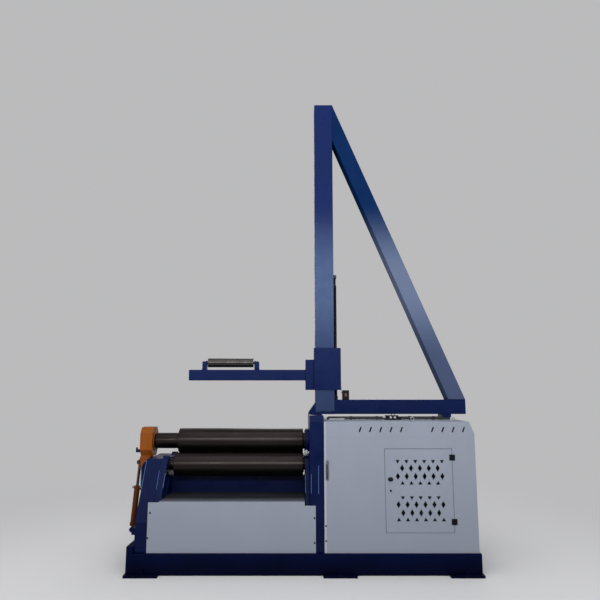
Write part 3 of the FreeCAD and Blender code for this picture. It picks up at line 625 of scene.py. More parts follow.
class Effects:
    """The shader node groups that several finishes share, each built once."""

    def __init__(self) -> None:
        """Builds every group."""
        self.edge_wear = self._edge_wear()
        self.settled_dust = self._settled_dust()
        self.floor_grime_and_shade = self._floor_grime_and_shade()
        self.grain = self._grain()
        self.handling = self._handling()
        self.turning_marks = self._turning_marks()

    @staticmethod
    def _edge_wear() -> bpy.types.NodeTree:
        """Mask of rubbed edges: one minus the dot of the softened and the plain normal, broken by noise.

        Returns:
            The node group.
        """
        w, given, out = open_group("edge_wear", {"Width": 0.004, "Amount": 0.5, "Scale": 18.0}, "Mask")
        soft = w.put("ShaderNodeBevel", {"Radius": given["Width"]}, samples=4).outputs[0]
        both = {0: soft, 1: w.normal()}
        dot = w.put("ShaderNodeVectorMath", both, operation="DOT_PRODUCT").outputs["Value"]
        edge = w.remap(w.math("SUBTRACT", 1.0, dot), 0.01, 0.12)
        broken = w.remap(w.noise(w.where(), given["Scale"], 6.0, 0.7), 0.5, 0.68)
        w.lead(w.masked(edge, broken, given["Amount"]), out, "Mask")
        return w.tree

    @staticmethod
    def _settled_dust() -> bpy.types.NodeTree:
        """Mask of dust on faces that look up: the normal's rise times cloudy noise.

        Returns:
            The node group.
        """
        w, given, out = open_group("settled_dust", {"Amount": 0.4, "Scale": 5.0}, "Mask")
        rise = w.remap(w.axes(w.normal())[2], 0.86, 0.99)
        cloud = w.remap(w.noise(w.where(), given["Scale"], 5.0, 0.6), 0.3, 0.75)
        w.lead(w.masked(rise, cloud, given["Amount"]), out, "Mask")
        return w.tree

    @staticmethod
    def _floor_grime_and_shade() -> bpy.types.NodeTree:
        """Mask of darkening that thins out with height above the floor, with an uneven border; it serves for
        dirt and for painted shade.

        Returns:
            The node group.
        """
        first = {"Height": 0.5, "Amount": 0.5, "Scale": 3.0, "Ragged": 0.9}
        w, given, out = open_group("floor_grime_and_shade", first, "Mask")
        where = w.where()
        level = w.math("DIVIDE", w.axes(where)[2], given["Height"])
        cloud = w.math("SUBTRACT", w.noise(where, given["Scale"], 6.0, 0.62), 0.5)
        ragged = w.math("ADD", level, w.math("MULTIPLY", cloud, given["Ragged"]))
        w.lead(w.math("MULTIPLY", w.remap(ragged, 1.0, 0.05), given["Amount"], clamp=True), out, "Mask")
        return w.tree

    @staticmethod
    def _grain() -> bpy.types.NodeTree:
        """Height of a fine even grain, as of sprayed paint or cast skin.

        Returns:
            The node group.
        """
        w, given, out = open_group("surface_grain", {"Scale": 300.0}, "Height")
        w.lead(w.noise(w.where(), given["Scale"], 2.0, 0.5), out, "Height")
        return w.tree

    @staticmethod
    def _handling() -> bpy.types.NodeTree:
        """Cloudy value between two limits, for gloss and colour that vary with handling.

        Returns:
            The node group.
        """
        w, given, out = open_group("handling", {"Scale": 4.0, "Low": 0.3, "High": 0.5}, "Value")
        cloud = w.noise(w.where(), given["Scale"], 5.0, 0.65)
        w.lead(w.remap(cloud, 0.3, 0.7, given["Low"], given["High"]), out, "Value")
        return w.tree

    @staticmethod
    def _turning_marks() -> bpy.types.NodeTree:
        """Marks that run round a shaft along X: noise that changes fast along X and slowly round it.

        Returns:
            The node group.
        """
        w, given, out = open_group("turning_marks", {"Fineness": 240.0, "Round": 2.0}, "Height", "Mask")
        factors = w.put("ShaderNodeCombineXYZ", {0: given["Fineness"], 1: given["Round"], 2: given["Round"]})
        drawn = w.stretch(w.where(), factors.outputs[0])
        w.lead(w.noise(drawn, 1.0, 4.0, 0.6), out, "Height")
        broad = w.stretch(drawn, (0.09, 1.6, 1.6))
        w.lead(w.remap(w.noise(broad, 1.0, 4.0, 0.6), 0.35, 0.7), out, "Mask")
        return w.tree


EFFECTS = Effects()


def linear(red: int, green: int, blue: int) -> Colour:
    """A screen colour of 0 to 255 as the linear colour that shows it."""
    return tuple(float(c) for c in (np.array((red, green, blue)) / 255.0) ** 2.2)


@dataclass(frozen=True)
class Finish:
    """A surface finish; each kind builds its own material once."""

    name: str
    slot: str
    colour: Colour
    roughness: float = 0.4

    def material(self) -> bpy.types.Material:
        """The material of this finish, built at the first call.

        Returns:
            The material.
        """
        found = bpy.data.materials.get(self.name)
        if found:
            return found
        made = bpy.data.materials.new(self.name)
        made.use_nodes = True
        made.diffuse_color = (*self.colour, 1.0)
        w, shader = Wiring(made.node_tree), made.node_tree.nodes["Principled BSDF"]
        w.lead(self.colour, shader, "Base Color")
        w.lead(self.roughness, shader, "Roughness")
        self.wire(w, shader)
        return made

    def wire(self, w: Wiring, shader: bpy.types.Node) -> None:
        """Adds what this kind of finish has beyond a plain colour."""

    @staticmethod
    def bump(w: Wiring, shader: bpy.types.Node, height: Any, strength: float, distance: float) -> None:
        """Leads a height into the shader's normal.

        Args:
            w: The material's wiring.
            shader: Its Principled shader.
            height: The height value.
            strength: Strength of the bump.
            distance: Depth of the bump in metres.
        """
        node = w.put("ShaderNodeBump", {"Height": height, "Strength": strength, "Distance": distance})
        w.lead(node.outputs[0], shader, "Normal")

    @staticmethod
    def effect(w: Wiring, tree: bpy.types.NodeTree, **inputs: float) -> Any:
        """Places a shared effect with its own values; returns its first output."""
        return w.put("ShaderNodeGroup", inputs, node_tree=tree).outputs[0]

    def gloss(self, w: Wiring, shader: bpy.types.Node, scale: float, less: float, more: float) -> None:
        """Lets the roughness vary round its middle value in clouds of one scale.

        Args:
            w: The material's wiring.
            shader: Its Principled shader.
            scale: Scale of the clouds.
            less: How far the roughness falls.
            more: How far it rises.
        """
        cloud = self.effect(w, EFFECTS.handling, Scale=scale, Low=self.roughness - less,
                            High=self.roughness + more)
        w.lead(cloud, shader, "Roughness")

    @staticmethod
    def lay_over(w: Wiring, shader: bpy.types.Node, mask: Any, colour: Colour) -> None:
        """Blends a colour over what feeds Base Color so far, where the mask is one."""
        below = shader.inputs["Base Color"].links[0].from_socket
        w.lead(w.blend(mask, below, colour), shader, "Base Color")


@dataclass(frozen=True)
class PaintedSteel(Finish):
    """Sprayed paint on steel, with rubbed edges, settled dust and a darkening towards the floor, which is
    dirt on some paints and painted shade on others.
    """

    worn: Colour = (0.16, 0.16, 0.17)
    dust: Colour = (0.20, 0.19, 0.18)
    dirt_and_shade: Colour = (0.010, 0.012, 0.018)
    wear_amount: float = 0.5
    wear_width: float = 0.003
    dust_amount: float = 0.2
    dirt_and_shade_height: float = 0.45
    dirt_and_shade_amount: float = 0.6
    dirt_and_shade_ragged: float = 0.9
    gloss_spread: float = 0.12
    peel: float = 0.12
    specular: float = 0.16
    shade_low: float = 0.85
    shade_high: float = 1.1

    def wire(self, w: Wiring, shader: bpy.types.Node) -> None:
        """Mixes wear, dust and the darkening towards the floor, dirt on some paints and painted shade on
        others, over the paint and lets its gloss vary.

        Args:
            w: The material's wiring.
            shader: Its Principled shader.
        """
        w.lead(self.specular, shader, "Specular IOR Level")
        shade = self.effect(w, EFFECTS.handling, Scale=1.7, Low=self.shade_low, High=self.shade_high)
        w.lead(w.tone(self.colour, shade), shader, "Base Color")
        # Darkening towards the floor: painted shade on the navy paints and the panels, dirt on the orange
        # ones.
        grime_and_shade = self.effect(w, EFFECTS.floor_grime_and_shade, Height=self.dirt_and_shade_height, Amount=self.dirt_and_shade_amount,
                            Ragged=self.dirt_and_shade_ragged)
        self.lay_over(w, shader, grime_and_shade, self.dirt_and_shade)
        self.lay_over(w, shader, self.effect(w, EFFECTS.settled_dust, Amount=self.dust_amount), self.dust)
        rubbed = self.effect(w, EFFECTS.edge_wear, Width=self.wear_width, Amount=self.wear_amount)
        self.lay_over(w, shader, rubbed, self.worn)
        self.gloss(w, shader, 6.0, self.gloss_spread, self.gloss_spread)
        self.bump(w, shader, self.effect(w, EFFECTS.grain, Scale=260.0), self.peel, 0.0006)


@dataclass(frozen=True)
class SheenBandPaint(PaintedSteel):
    """Paint with a painted sheen: paler in one band of heights, as on the overhead frame."""

    sheen: Colour = (0.155, 0.195, 0.30)
    sheen_amount: float = 0.8
    sheen_rise: tuple[float, float] = (3.5, 2.75)
    sheen_fall: tuple[float, float] = (1.9, 2.55)
    sheen_foot: float = 0.45

    def wire(self, w: Wiring, shader: bpy.types.Node) -> None:
        """Blends the painted sheen in from above and partly out again below.

        Args:
            w: The material's wiring.
            shader: Its Principled shader.
        """
        super().wire(w, shader)
        height = w.axes(w.where())[2]
        above = w.remap(height, *self.sheen_rise, 0.0, self.sheen_amount)
        below = w.remap(height, *self.sheen_fall, self.sheen_foot, 1.0)
        self.lay_over(w, shader, w.math("MULTIPLY", above, below), self.sheen)


@dataclass(frozen=True)
class DeckPaint(PaintedSteel):
    """Panel paint on the deck, with painted shadow of the rolls that darkens it towards the middle of the
    machine.
    """

    roll_shadow: Colour = (0.012, 0.012, 0.013)
    roll_shadow_depths: tuple[float, float] = (0.64, 0.40)
    roll_shadow_amounts: tuple[float, float] = (0.1, 0.95)

    def wire(self, w: Wiring, shader: bpy.types.Node) -> None:
        """Paints the rolls' shadow, darker from the deck's front edge to the centre tie.

        Args:
            w: The material's wiring.
            shader: Its Principled shader.
        """
        super().wire(w, shader)
        where = w.where()
        depth = w.math("ABSOLUTE", w.axes(where)[1])
        ragged = w.math("ADD", depth, w.math("MULTIPLY", w.noise(where, 3.0, 5.0, 0.6), 0.08))
        self.lay_over(w, shader, w.remap(ragged, *self.roll_shadow_depths, *self.roll_shadow_amounts), self.roll_shadow)


@dataclass(frozen=True)
class CabinetPaint(PaintedSteel):
    """Panel paint with a painted highlight on the fold and dark rub marks along one edge of the cabinet
    front.
    """

    # edge: colour of the painted highlight along the fold.
    edge: Colour = (0.37, 0.385, 0.42)
    fold_highlight_x: float = 0.197
    fold_highlight_width: float = 0.004
    mark: Colour = (0.030, 0.031, 0.036)
    mark_x: float = 0.207
    mark_half: float = 0.024
    mark_low: float = 0.775
    mark_high: float = 0.975
    mark_fade: float = 0.03

    def wire(self, w: Wiring, shader: bpy.types.Node) -> None:
        """Adds the fold's painted highlight and the rub marks: near one line in X, between two heights,
        broken by noise.

        Args:
            w: The material's wiring.
            shader: Its Principled shader.
        """
        super().wire(w, shader)
        where = w.where()
        axes = w.axes(where)
        near = w.remap(w.math("ABSOLUTE", w.math("SUBTRACT", axes[0], self.mark_x)), self.mark_half, 0.004)
        above = w.remap(axes[2], self.mark_low, self.mark_low + self.mark_fade)
        below = w.remap(axes[2], self.mark_high, self.mark_high - self.mark_fade)
        broken = w.remap(w.noise(w.stretch(where, (30.0, 6.0, 9.0)), 1.0, 4.0, 0.6), 0.32, 0.5)
        mask = w.math("MULTIPLY", w.math("MULTIPLY", near, above), w.math("MULTIPLY", below, broken))
        fold_highlight = w.remap(axes[0], self.fold_highlight_x + self.fold_highlight_width, self.fold_highlight_x, 0.0, 0.6)
        self.lay_over(w, shader, fold_highlight, self.edge)
        self.lay_over(w, shader, mask, self.mark)


@dataclass(frozen=True)
class RollSteel(Finish):
    """Dark forged roll steel, turned round, with brown bloom and rubbed pale patches."""

    bloom: Colour = (0.0110, 0.0068, 0.0052)
    bloom_amount: float = 0.7
    rubbed: Colour = (0.028, 0.025, 0.023)
    rubbed_amount: float = 0.4

    def wire(self, w: Wiring, shader: bpy.types.Node) -> None:
        """Lays brown bloom and rubbed patches along the roll, and turning marks in its surface.

        Args:
            w: The material's wiring.
            shader: Its Principled shader.
        """
        w.lead(0.85, shader, "Metallic")
        given = {"Fineness": 240.0, "Round": 1.2}
        marks = w.put("ShaderNodeGroup", given, node_tree=EFFECTS.turning_marks).outputs
        drawn = w.stretch(w.where(), (1.3, 7.0, 7.0))
        brown = w.remap(w.noise(drawn, 1.6, 6.0, 0.65), 0.46, 0.66)
        pale = w.remap(w.noise(drawn, 2.7, 6.0, 0.7), 0.5, 0.72, 0.0, self.rubbed_amount)
        base = w.blend(w.math("MULTIPLY", brown, self.bloom_amount), self.colour, self.bloom)
        w.lead(w.blend(w.math("MULTIPLY", pale, marks["Mask"]), base, self.rubbed), shader, "Base Color")
        self.gloss(w, shader, 3.0, 0.03, 0.05)
        self.bump(w, shader, marks["Height"], 0.12, 0.0002)


@dataclass(frozen=True)
class BareMetal(Finish):
    """Machined, zinced or chromed metal, rubber or plastic with light handling marks."""

    metallic: float = 1.0
    specular: float = 0.5
    spread: float = 0.08
    grain: float = 0.08

    def wire(self, w: Wiring, shader: bpy.types.Node) -> None:
        """Varies the gloss and the tone and adds a fine grain.

        Args:
            w: The material's wiring.
            shader: Its Principled shader.
        """
        w.lead(self.metallic, shader, "Metallic")
        w.lead(self.specular, shader, "Specular IOR Level")
        self.gloss(w, shader, 9.0, self.spread, self.spread)
        shade = self.effect(w, EFFECTS.handling, Scale=14.0, Low=0.8, High=1.1)
        w.lead(w.tone(self.colour, shade), shader, "Base Color")
        self.bump(w, shader, self.effect(w, EFFECTS.grain, Scale=420.0), self.grain, 0.0003)


# Paints: the shade of each sub-assembly's navy, the panels and the orange of the drop end
# Navy paints: the darkening towards the floor, reaching 3.1 m up, is painted shade, the lower parts lying
# darker in the light; the dust on upward faces is real.
NAVY_SHADE = {"dirt_and_shade": linear(2, 13, 42), "dirt_and_shade_height": 3.1, "dirt_and_shade_amount": 0.84, "dirt_and_shade_ragged": 0.25,
              "dust": linear(30, 46, 84), "dust_amount": 0.12, "specular": 0.09}
NAVY_WEAR = {"wear_amount": 0.35, "worn": linear(60, 84, 130)}
CLEAN = {"wear_amount": 0.0, "dirt_and_shade_amount": 0.0, "dust_amount": 0.0}
NAVY = PaintedSteel("navy_gloss_paint", "navy_paint", linear(6, 34, 84), 0.38, **NAVY_WEAR, **NAVY_SHADE)
# Post and brace: the paler band of heights is a painted sheen of reflected light.
BRACE_NAVY = SheenBandPaint("navy_brace_paint", "navy_paint", linear(23, 44, 82), 0.38, **NAVY_WEAR,
                        **{**NAVY_SHADE, "specular": 0.0})
POST_NAVY = SheenBandPaint("navy_post_paint", "navy_paint", linear(5, 33, 84), 0.38,
                       sheen=(0.105, 0.165, 0.30), sheen_amount=0.5, **NAVY_WEAR, **NAVY_SHADE)
# Base: a darker copy of the navy and darker still near the floor, as painted shade of the low base.
BASE_NAVY = PaintedSteel("navy_base_paint", "navy_paint", linear(2, 15, 44), 0.5, wear_amount=0.25,
                         dirt_and_shade=linear(1, 8, 22), dirt_and_shade_amount=0.7, dirt_and_shade_height=0.2, worn=linear(30, 44, 74),
                         dust_amount=0.0, specular=0.04)
GUIDE_NAVY = PaintedSteel("navy_guide_paint", "navy_paint", linear(12, 42, 90), 0.34, wear_amount=0.8,
                          worn=linear(96, 118, 154), **NAVY_SHADE)
# Pale blue strips on the guide and housing edges: painted highlight.
HIGHLIGHT_BLUE = PaintedSteel("navy_painted_highlight", "navy_paint", linear(68, 90, 134), 0.34, **CLEAN)
# Pale grey strips on the hinge plates' edges: painted highlight.
HIGHLIGHT_PALE = PaintedSteel("plate_painted_highlight", "machined_steel", linear(138, 148, 160), 0.4, **CLEAN)
# Panels: the darkening towards the bottom, up to 1.25 m, is painted shade; the dust and worn tones are real.
PANEL_TONES = {"wear_amount": 0.1, "dirt_and_shade": linear(117, 122, 133), "dirt_and_shade_height": 1.25, "dirt_and_shade_amount": 0.7,
               "dirt_and_shade_ragged": 0.2, "dust": linear(126, 128, 132), "worn": linear(108, 111, 118), "peel": 0.05,
               "shade_low": 0.97, "shade_high": 1.03, "gloss_spread": 0.05}
PANEL = PaintedSteel("panel_powder_coat", "panel_paint", linear(134, 140, 153), 0.42, **PANEL_TONES)
CABINET = CabinetPaint("cabinet_powder_coat", "panel_paint", linear(134, 140, 153), 0.42, **PANEL_TONES)
# Deck: a darker grey than the panels, as painted shade of the deck lying under the rolls.
DECK = DeckPaint("deck_powder_coat", "panel_paint", linear(100, 103, 112), 0.42, shade_low=0.96,
                 shade_high=1.04, peel=0.04, gloss_spread=0.04, **CLEAN)
ORANGE = PaintedSteel("orange_gloss_paint", "orange_paint", linear(128, 68, 4), 0.42, wear_amount=0.3,
                      dirt_and_shade=linear(62, 34, 10), dirt_and_shade_height=0.7, dirt_and_shade_amount=0.4, dust=linear(96, 58, 20),
                      worn=linear(84, 50, 22), dust_amount=0.1)
CYLINDER_ORANGE = PaintedSteel("orange_cylinder_paint", "orange_paint", linear(90, 45, 13), 0.45,
                               wear_amount=0.3, dirt_and_shade=linear(40, 22, 12), dirt_and_shade_height=0.9, dirt_and_shade_amount=0.8,
                               dust_amount=0.0, worn=linear(60, 38, 24))
ROLL = RollSteel("roll_steel_dark", "roll_steel", linear(38, 34, 33), 0.3)
DULL_ROLL = BareMetal("support_roller_steel", "roll_steel", linear(66, 65, 64), 0.28, spread=0.03)
ZINC = BareMetal("zinc_plated", "machined_steel", linear(140, 141, 140), 0.38)
DARK_BOLT = BareMetal("blackened_bolt", "black_plastic", linear(30, 33, 40), 0.45, metallic=0.4)
OILED_ROD = BareMetal("oiled_rod", "chrome", linear(104, 92, 84), 0.2, spread=0.04, grain=0.02)
BLACK = BareMetal("black_moulding", "black_plastic", linear(10, 11, 14), 0.5, metallic=0.0, specular=0.15,
                  grain=0.15)
RUBBER = BareMetal("black_hose_rubber", "black_plastic", linear(24, 25, 28), 0.62, metallic=0.0, grain=0.2)
BROWN = BareMetal("brown_cover", "black_plastic", linear(86, 58, 40), 0.45, metallic=0.0)
PALE = BareMetal("pale_fitting", "machined_steel", linear(172, 175, 180), 0.45, metallic=0.1)


# The machine, one class for each sub-assembly

UP = (0, 0, 1)
RIGHT = (1, 0, 0)
LEFT = (-1, 0, 0)
FORWARD = (0, -1, 0)
SIDES = {-1: "front", 1: "rear"}

# Places that several sub-assemblies share
SHEET_FACE = 0.600
TOP_ROLL_HEIGHT = 1.090
SIDE_ROLL_HEIGHT = 0.880
SIDE_ROLL_DEPTH = 0.180

# Widths of the softened edges, by kind of stock
TRIM_EDGE = 0.0004
STRIP_EDGE = 0.0003
THIN_EDGE = 0.0006
LEAF_EDGE = 0.0008
FINE_EDGE = 0.001
FOLD_EDGE = 0.0012
SHEET_EDGE = 0.0015
PLATE_EDGE = 0.002
BLOCK_EDGE = 0.003
HOUSING_EDGE = 0.004
CAST_EDGE = 0.0045
ARM_EDGE = 0.005
TUBE_EDGE = 0.006

# Angles in degrees past which an edge stays sharp, by form
HEX_CREASE = 25.0
ROLL_CREASE = 28.0
TURNED_CREASE = 30.0
PIPE_CREASE = 50.0
BEAD_CREASE = 60.0


def mirrored(side: int, near: float, far: float) -> list[float]:
    """Two depths on one side of the middle plane, the lower first."""
    return sorted((side * near, side * far))


def rod(length: float, radius: float) -> Rows:
    """Half outline of a plain cylinder."""
    return [(0, 0), (0, radius), (length, radius), (length, 0)]


@dataclass(frozen=True)
class Strip:
    """A slim strip that stands on a face: its left side, its width and its two heights."""

    x: float
    width: float
    low: float
    high: float


@dataclass
class BaseFrame:
    """Welded base of box sections with its floor anchors."""

    anchor_inset: float = 0.145
    anchor_middle: float = 0.31
    anchor_depth: float = 0.655
    anchor_radius: float = 0.020
    washer_radius: float = 0.027
    stud_radius: float = 0.012
    stud_height: float = 0.034
    stud_chamfer: float = 0.002

    def build(self) -> None:
        """Dresses the beams and sets an anchor with nut and washer in each pad hole."""
        for node in ("front_beam", "rear_beam", "left_beam", "right_beam", "cross_beam", "end_rail"):
            dress(f"base_{node}", BASE_NAVY, TUBE_EDGE, 3)
        dress("anchor_pads", BASE_NAVY, PLATE_EDGE)
        low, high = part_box("anchor_pads")
        columns = (low.x + self.anchor_inset, self.anchor_middle, high.x - self.anchor_inset)
        pads = [(x, side * self.anchor_depth, high.z) for x in columns for side in SIDES]
        shell = fasteners(Head.HEX, self.anchor_radius, pads, UP, self.washer_radius)
        stud = [(0, 0), (0, self.stud_radius), (self.stud_height - self.stud_chamfer, self.stud_radius),
                (self.stud_height, self.stud_radius * 0.8), (self.stud_height, 0)]
        for place in pads:
            shell.join(revolve(stud, place, UP, 20))
        make_piece("anchor_bolts", shell, BASE_NAVY, "machine", crease=HEX_CREASE)


@dataclass
class Housings:
    """The two roll housings, their guides, bearing blocks and top bearing."""

    guide_tilt: float = math.radians(32)
    rail_reach: float = 0.1358
    guide_strips: tuple[Strip, ...] = (Strip(-1.4785, 0.005, 0.69, 0.93), Strip(-1.3425, 0.004, 0.69, 0.845),
                                       Strip(-1.2845, 0.0045, 0.70, 0.82), Strip(0.0125, 0.005, 0.66, 0.81))
    guide_strip_sink: float = 0.001
    guide_strip_rise: float = 0.0012
    housing_strips: tuple[Strip, ...] = (Strip(0.063, 0.005, 0.68, 0.844), Strip(0.128, 0.005, 0.675, 0.92))
    housing_strip_depths: tuple[float, float] = (0.591, 0.5928)
    ring_screw_radius: float = 0.008
    ring_screw_circle: float = 0.099
    nipple: Rows = ((-0.001, 0), (-0.001, 0.0065), (0.006, 0.0065), (0.008, 0.004), (0.014, 0.0032),
                    (0.016, 0.0045), (0.020, 0.0042), (0.022, 0.002), (0.022, 0))
    block_middle: float = -1.31
    block_top: float = 0.06
    tee: Point = (0.028, -0.221, 0.994)
    tee_stem_radius: float = 0.011
    tee_stem_overlap: float = 0.012
    tee_stub: Rows = ((0, 0), (0, 0.009), (0.010, 0.009), (0.010, 0.0125), (0.021, 0.0125), (0.024, 0.007),
                      (0.024, 0))
    tee_ways: tuple[Point, ...] = ((0, -0.55, 0.84), (0, 0.45, 0.89), (0, -1.0, -0.15), (0, -0.4, -0.92))

    def build(self) -> None:
        """Builds everything between the base and the rolls."""
        for end in ("idle", "drive"):
            dress(f"{end}_housing", NAVY, HOUSING_EDGE, 3)
        for end in ("idle", "drive"):
            dress(f"{end}_guides", GUIDE_NAVY, BLOCK_EDGE)
        for side in SIDES.values():
            for end in ("idle", "drive"):
                dress(f"{side}_roll_{end}_bearing", NAVY, PLATE_EDGE)
        dress("top_roll_bearing", NAVY, BLOCK_EDGE)
        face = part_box("top_roll_bearing")[0].x
        ring = circle_of(8, self.ring_screw_circle, (face, 0, TOP_ROLL_HEIGHT), RIGHT, 0.5)
        screws = fasteners(Head.SOCKET, self.ring_screw_radius, ring, LEFT)
        make_piece("top_bearing_bolts", screws, DARK_BOLT, "machine", crease=HEX_CREASE)
        self.build_nipples()
        self.build_tee()
        self.build_edge_highlights()

    def build_edge_highlights(self) -> None:
        """Lays slim pale strips as painted highlights along edges; on the guides y = y0 + (z0 - z) tan(tilt)
        + reach.
        """
        slope = math.tan(self.guide_tilt)
        shell = Shell()
        for strip in self.guide_strips:
            span = np.array((strip.low, strip.high))
            depth = SIDE_ROLL_DEPTH + (SIDE_ROLL_HEIGHT - span) * slope + self.rail_reach
            inner, outer = depth - self.guide_strip_sink, depth + self.guide_strip_rise
            outline = np.array([(inner[0], span[0]), (outer[0], span[0]), (outer[1], span[1]),
                                (inner[1], span[1])])
            for side in SIDES:
                shell.join(prism("YZ", strip.x, strip.x + strip.width, outline * (side, 1)))
        for strip in self.housing_strips:
            for side in SIDES:
                start, end = mirrored(side, *self.housing_strip_depths)
                shell.join(block((strip.x, start, strip.low), (strip.x + strip.width, end, strip.high)))
        make_piece("painted_edge_highlights", shell, HIGHLIGHT_BLUE, "machine", bevel=TRIM_EDGE)

    def build_nipples(self) -> None:
        """Stands one grease nipple on the top of each idle bearing block."""
        for side, name in SIDES.items():
            axis = (0.0, -side * math.sin(self.guide_tilt), math.cos(self.guide_tilt))
            middle = np.array((self.block_middle, side * SIDE_ROLL_DEPTH, SIDE_ROLL_HEIGHT))
            shell = revolve(self.nipple, tuple(middle + np.array(axis) * self.block_top), axis, 16)
            make_piece(f"{name}_grease_nipple", shell, ZINC, f"{name}_slides", crease=TURNED_CREASE)

    def build_tee(self) -> None:
        """Sets the pale lubrication tee on the drive housing, beside the way of the sliding block."""
        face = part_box("drive_housing")[0].x
        x, y, z = self.tee
        shell = revolve(rod(face - x + self.tee_stem_overlap, self.tee_stem_radius), (face, y, z), LEFT, 18)
        for axis in self.tee_ways:
            shell.join(revolve(self.tee_stub, self.tee, axis, 12))
        make_piece("lubrication_tee", shell, PALE, "machine", crease=TURNED_CREASE)


@dataclass
class Rolls:
    """The top roll with its crowned seat, and the two side rolls; places lie along X."""

    barrel: tuple[float, float] = (-1.225, -0.005)
    top_radius: float = 0.120
    crown_centre: float = -1.538
    crown_radius: float = 0.0597
    crown_angle: float = 0.645
    neck_radius: float = 0.044
    journal_start: float = -1.455
    journal_radius: float = 0.075
    collar_width: float = 0.05
    drive_radius: float = 0.080
    side_radius: float = 0.108
    shoulder_radius: float = 0.072
    shoulder_width: float = 0.008
    side_journal_radius: float = 0.050

    def build(self) -> None:
        """Builds the three rolls; a corner is its place, its radius and its rounding."""
        left, right = self.barrel
        angle = np.linspace(-self.crown_angle, self.crown_angle, 15)
        crown = np.stack([self.crown_centre + self.crown_radius * np.sin(angle),
                          self.crown_radius * np.cos(angle), 0 * angle], axis=1)
        tip, neck = crown[0, 0], crown[-1, 0]
        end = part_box("top_roll")[1].x
        start, journal = self.journal_start, self.journal_radius
        self.turn("top_roll", TOP_ROLL_HEIGHT, 0.0, [
            (tip, 0.0, 0.0), *crown, (neck, self.neck_radius, 0.0), (start, self.neck_radius, 0.003),
            (start, journal, 0.003), (left - self.collar_width, journal, 0.0), (left, journal, 0.004),
            (left, self.top_radius, 0.006), (right, self.top_radius, 0.006),
            (right, self.drive_radius, 0.004), (end, self.drive_radius, 0.003), (end, 0.0, 0.0)])
        journal, shoulder, step = self.side_journal_radius, self.shoulder_radius, self.shoulder_width
        for side, name in SIDES.items():
            low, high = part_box(f"{name}_roll")
            self.turn(f"{name}_roll", SIDE_ROLL_HEIGHT, side * SIDE_ROLL_DEPTH, [
                (low.x, 0.0, 0.0), (low.x, journal, 0.002), (left - step, journal, 0.003),
                (left - step, shoulder, 0.002), (left, shoulder, 0.002), (left, self.side_radius, 0.005),
                (right, self.side_radius, 0.005), (right, shoulder, 0.002), (right + step, shoulder, 0.002),
                (right + step, journal, 0.003), (high.x, journal, 0.002), (high.x, 0.0, 0.0)])

    @staticmethod
    def turn(node: str, height: float, depth: float, corners: Rows) -> None:
        """Turns a half outline round a roll's axis.

        Args:
            node: The roll, which is also the name of its body.
            height: Height of its axis.
            depth: Depth of its axis.
            corners: Rows of place along the axis, radius and rounding.
        """
        rows = np.array(corners)
        profile = round_corners(rows[:, :2], rows[:, 2], 5, closed=False)
        shell = revolve(profile, (0, depth, height), RIGHT, 96)
        make_piece(f"{node}_turned", shell, ROLL, node, (node,), crease=ROLL_CREASE)


@dataclass
class RollBay:
    """Tie, deck and covers between the housings, with their button bolts."""

    bolt_radius: float = 0.0085
    bolts: tuple[tuple[float, float], ...] = ((-1.349, 0.515), (-1.3625, 0.306), (0.0925, 0.472),
                                              (0.0925, 0.265))

    def build(self) -> None:
        """Builds the closed lower half of the machine."""
        dress("centre_tie", NAVY, HOUSING_EDGE)
        for kind, finish, edge in (("deck", DECK, FINE_EDGE), ("cover", PANEL, SHEET_EDGE)):
            for name in SIDES.values():
                dress(f"{name}_{kind}", finish, edge)
        for side, name in SIDES.items():
            places = [(x, side * SHEET_FACE, z) for x, z in self.bolts]
            shell = fasteners(Head.BUTTON, self.bolt_radius, places, (0, side, 0))
            make_piece(f"{name}_cover_bolts", shell, DARK_BOLT, "machine", crease=TURNED_CREASE)


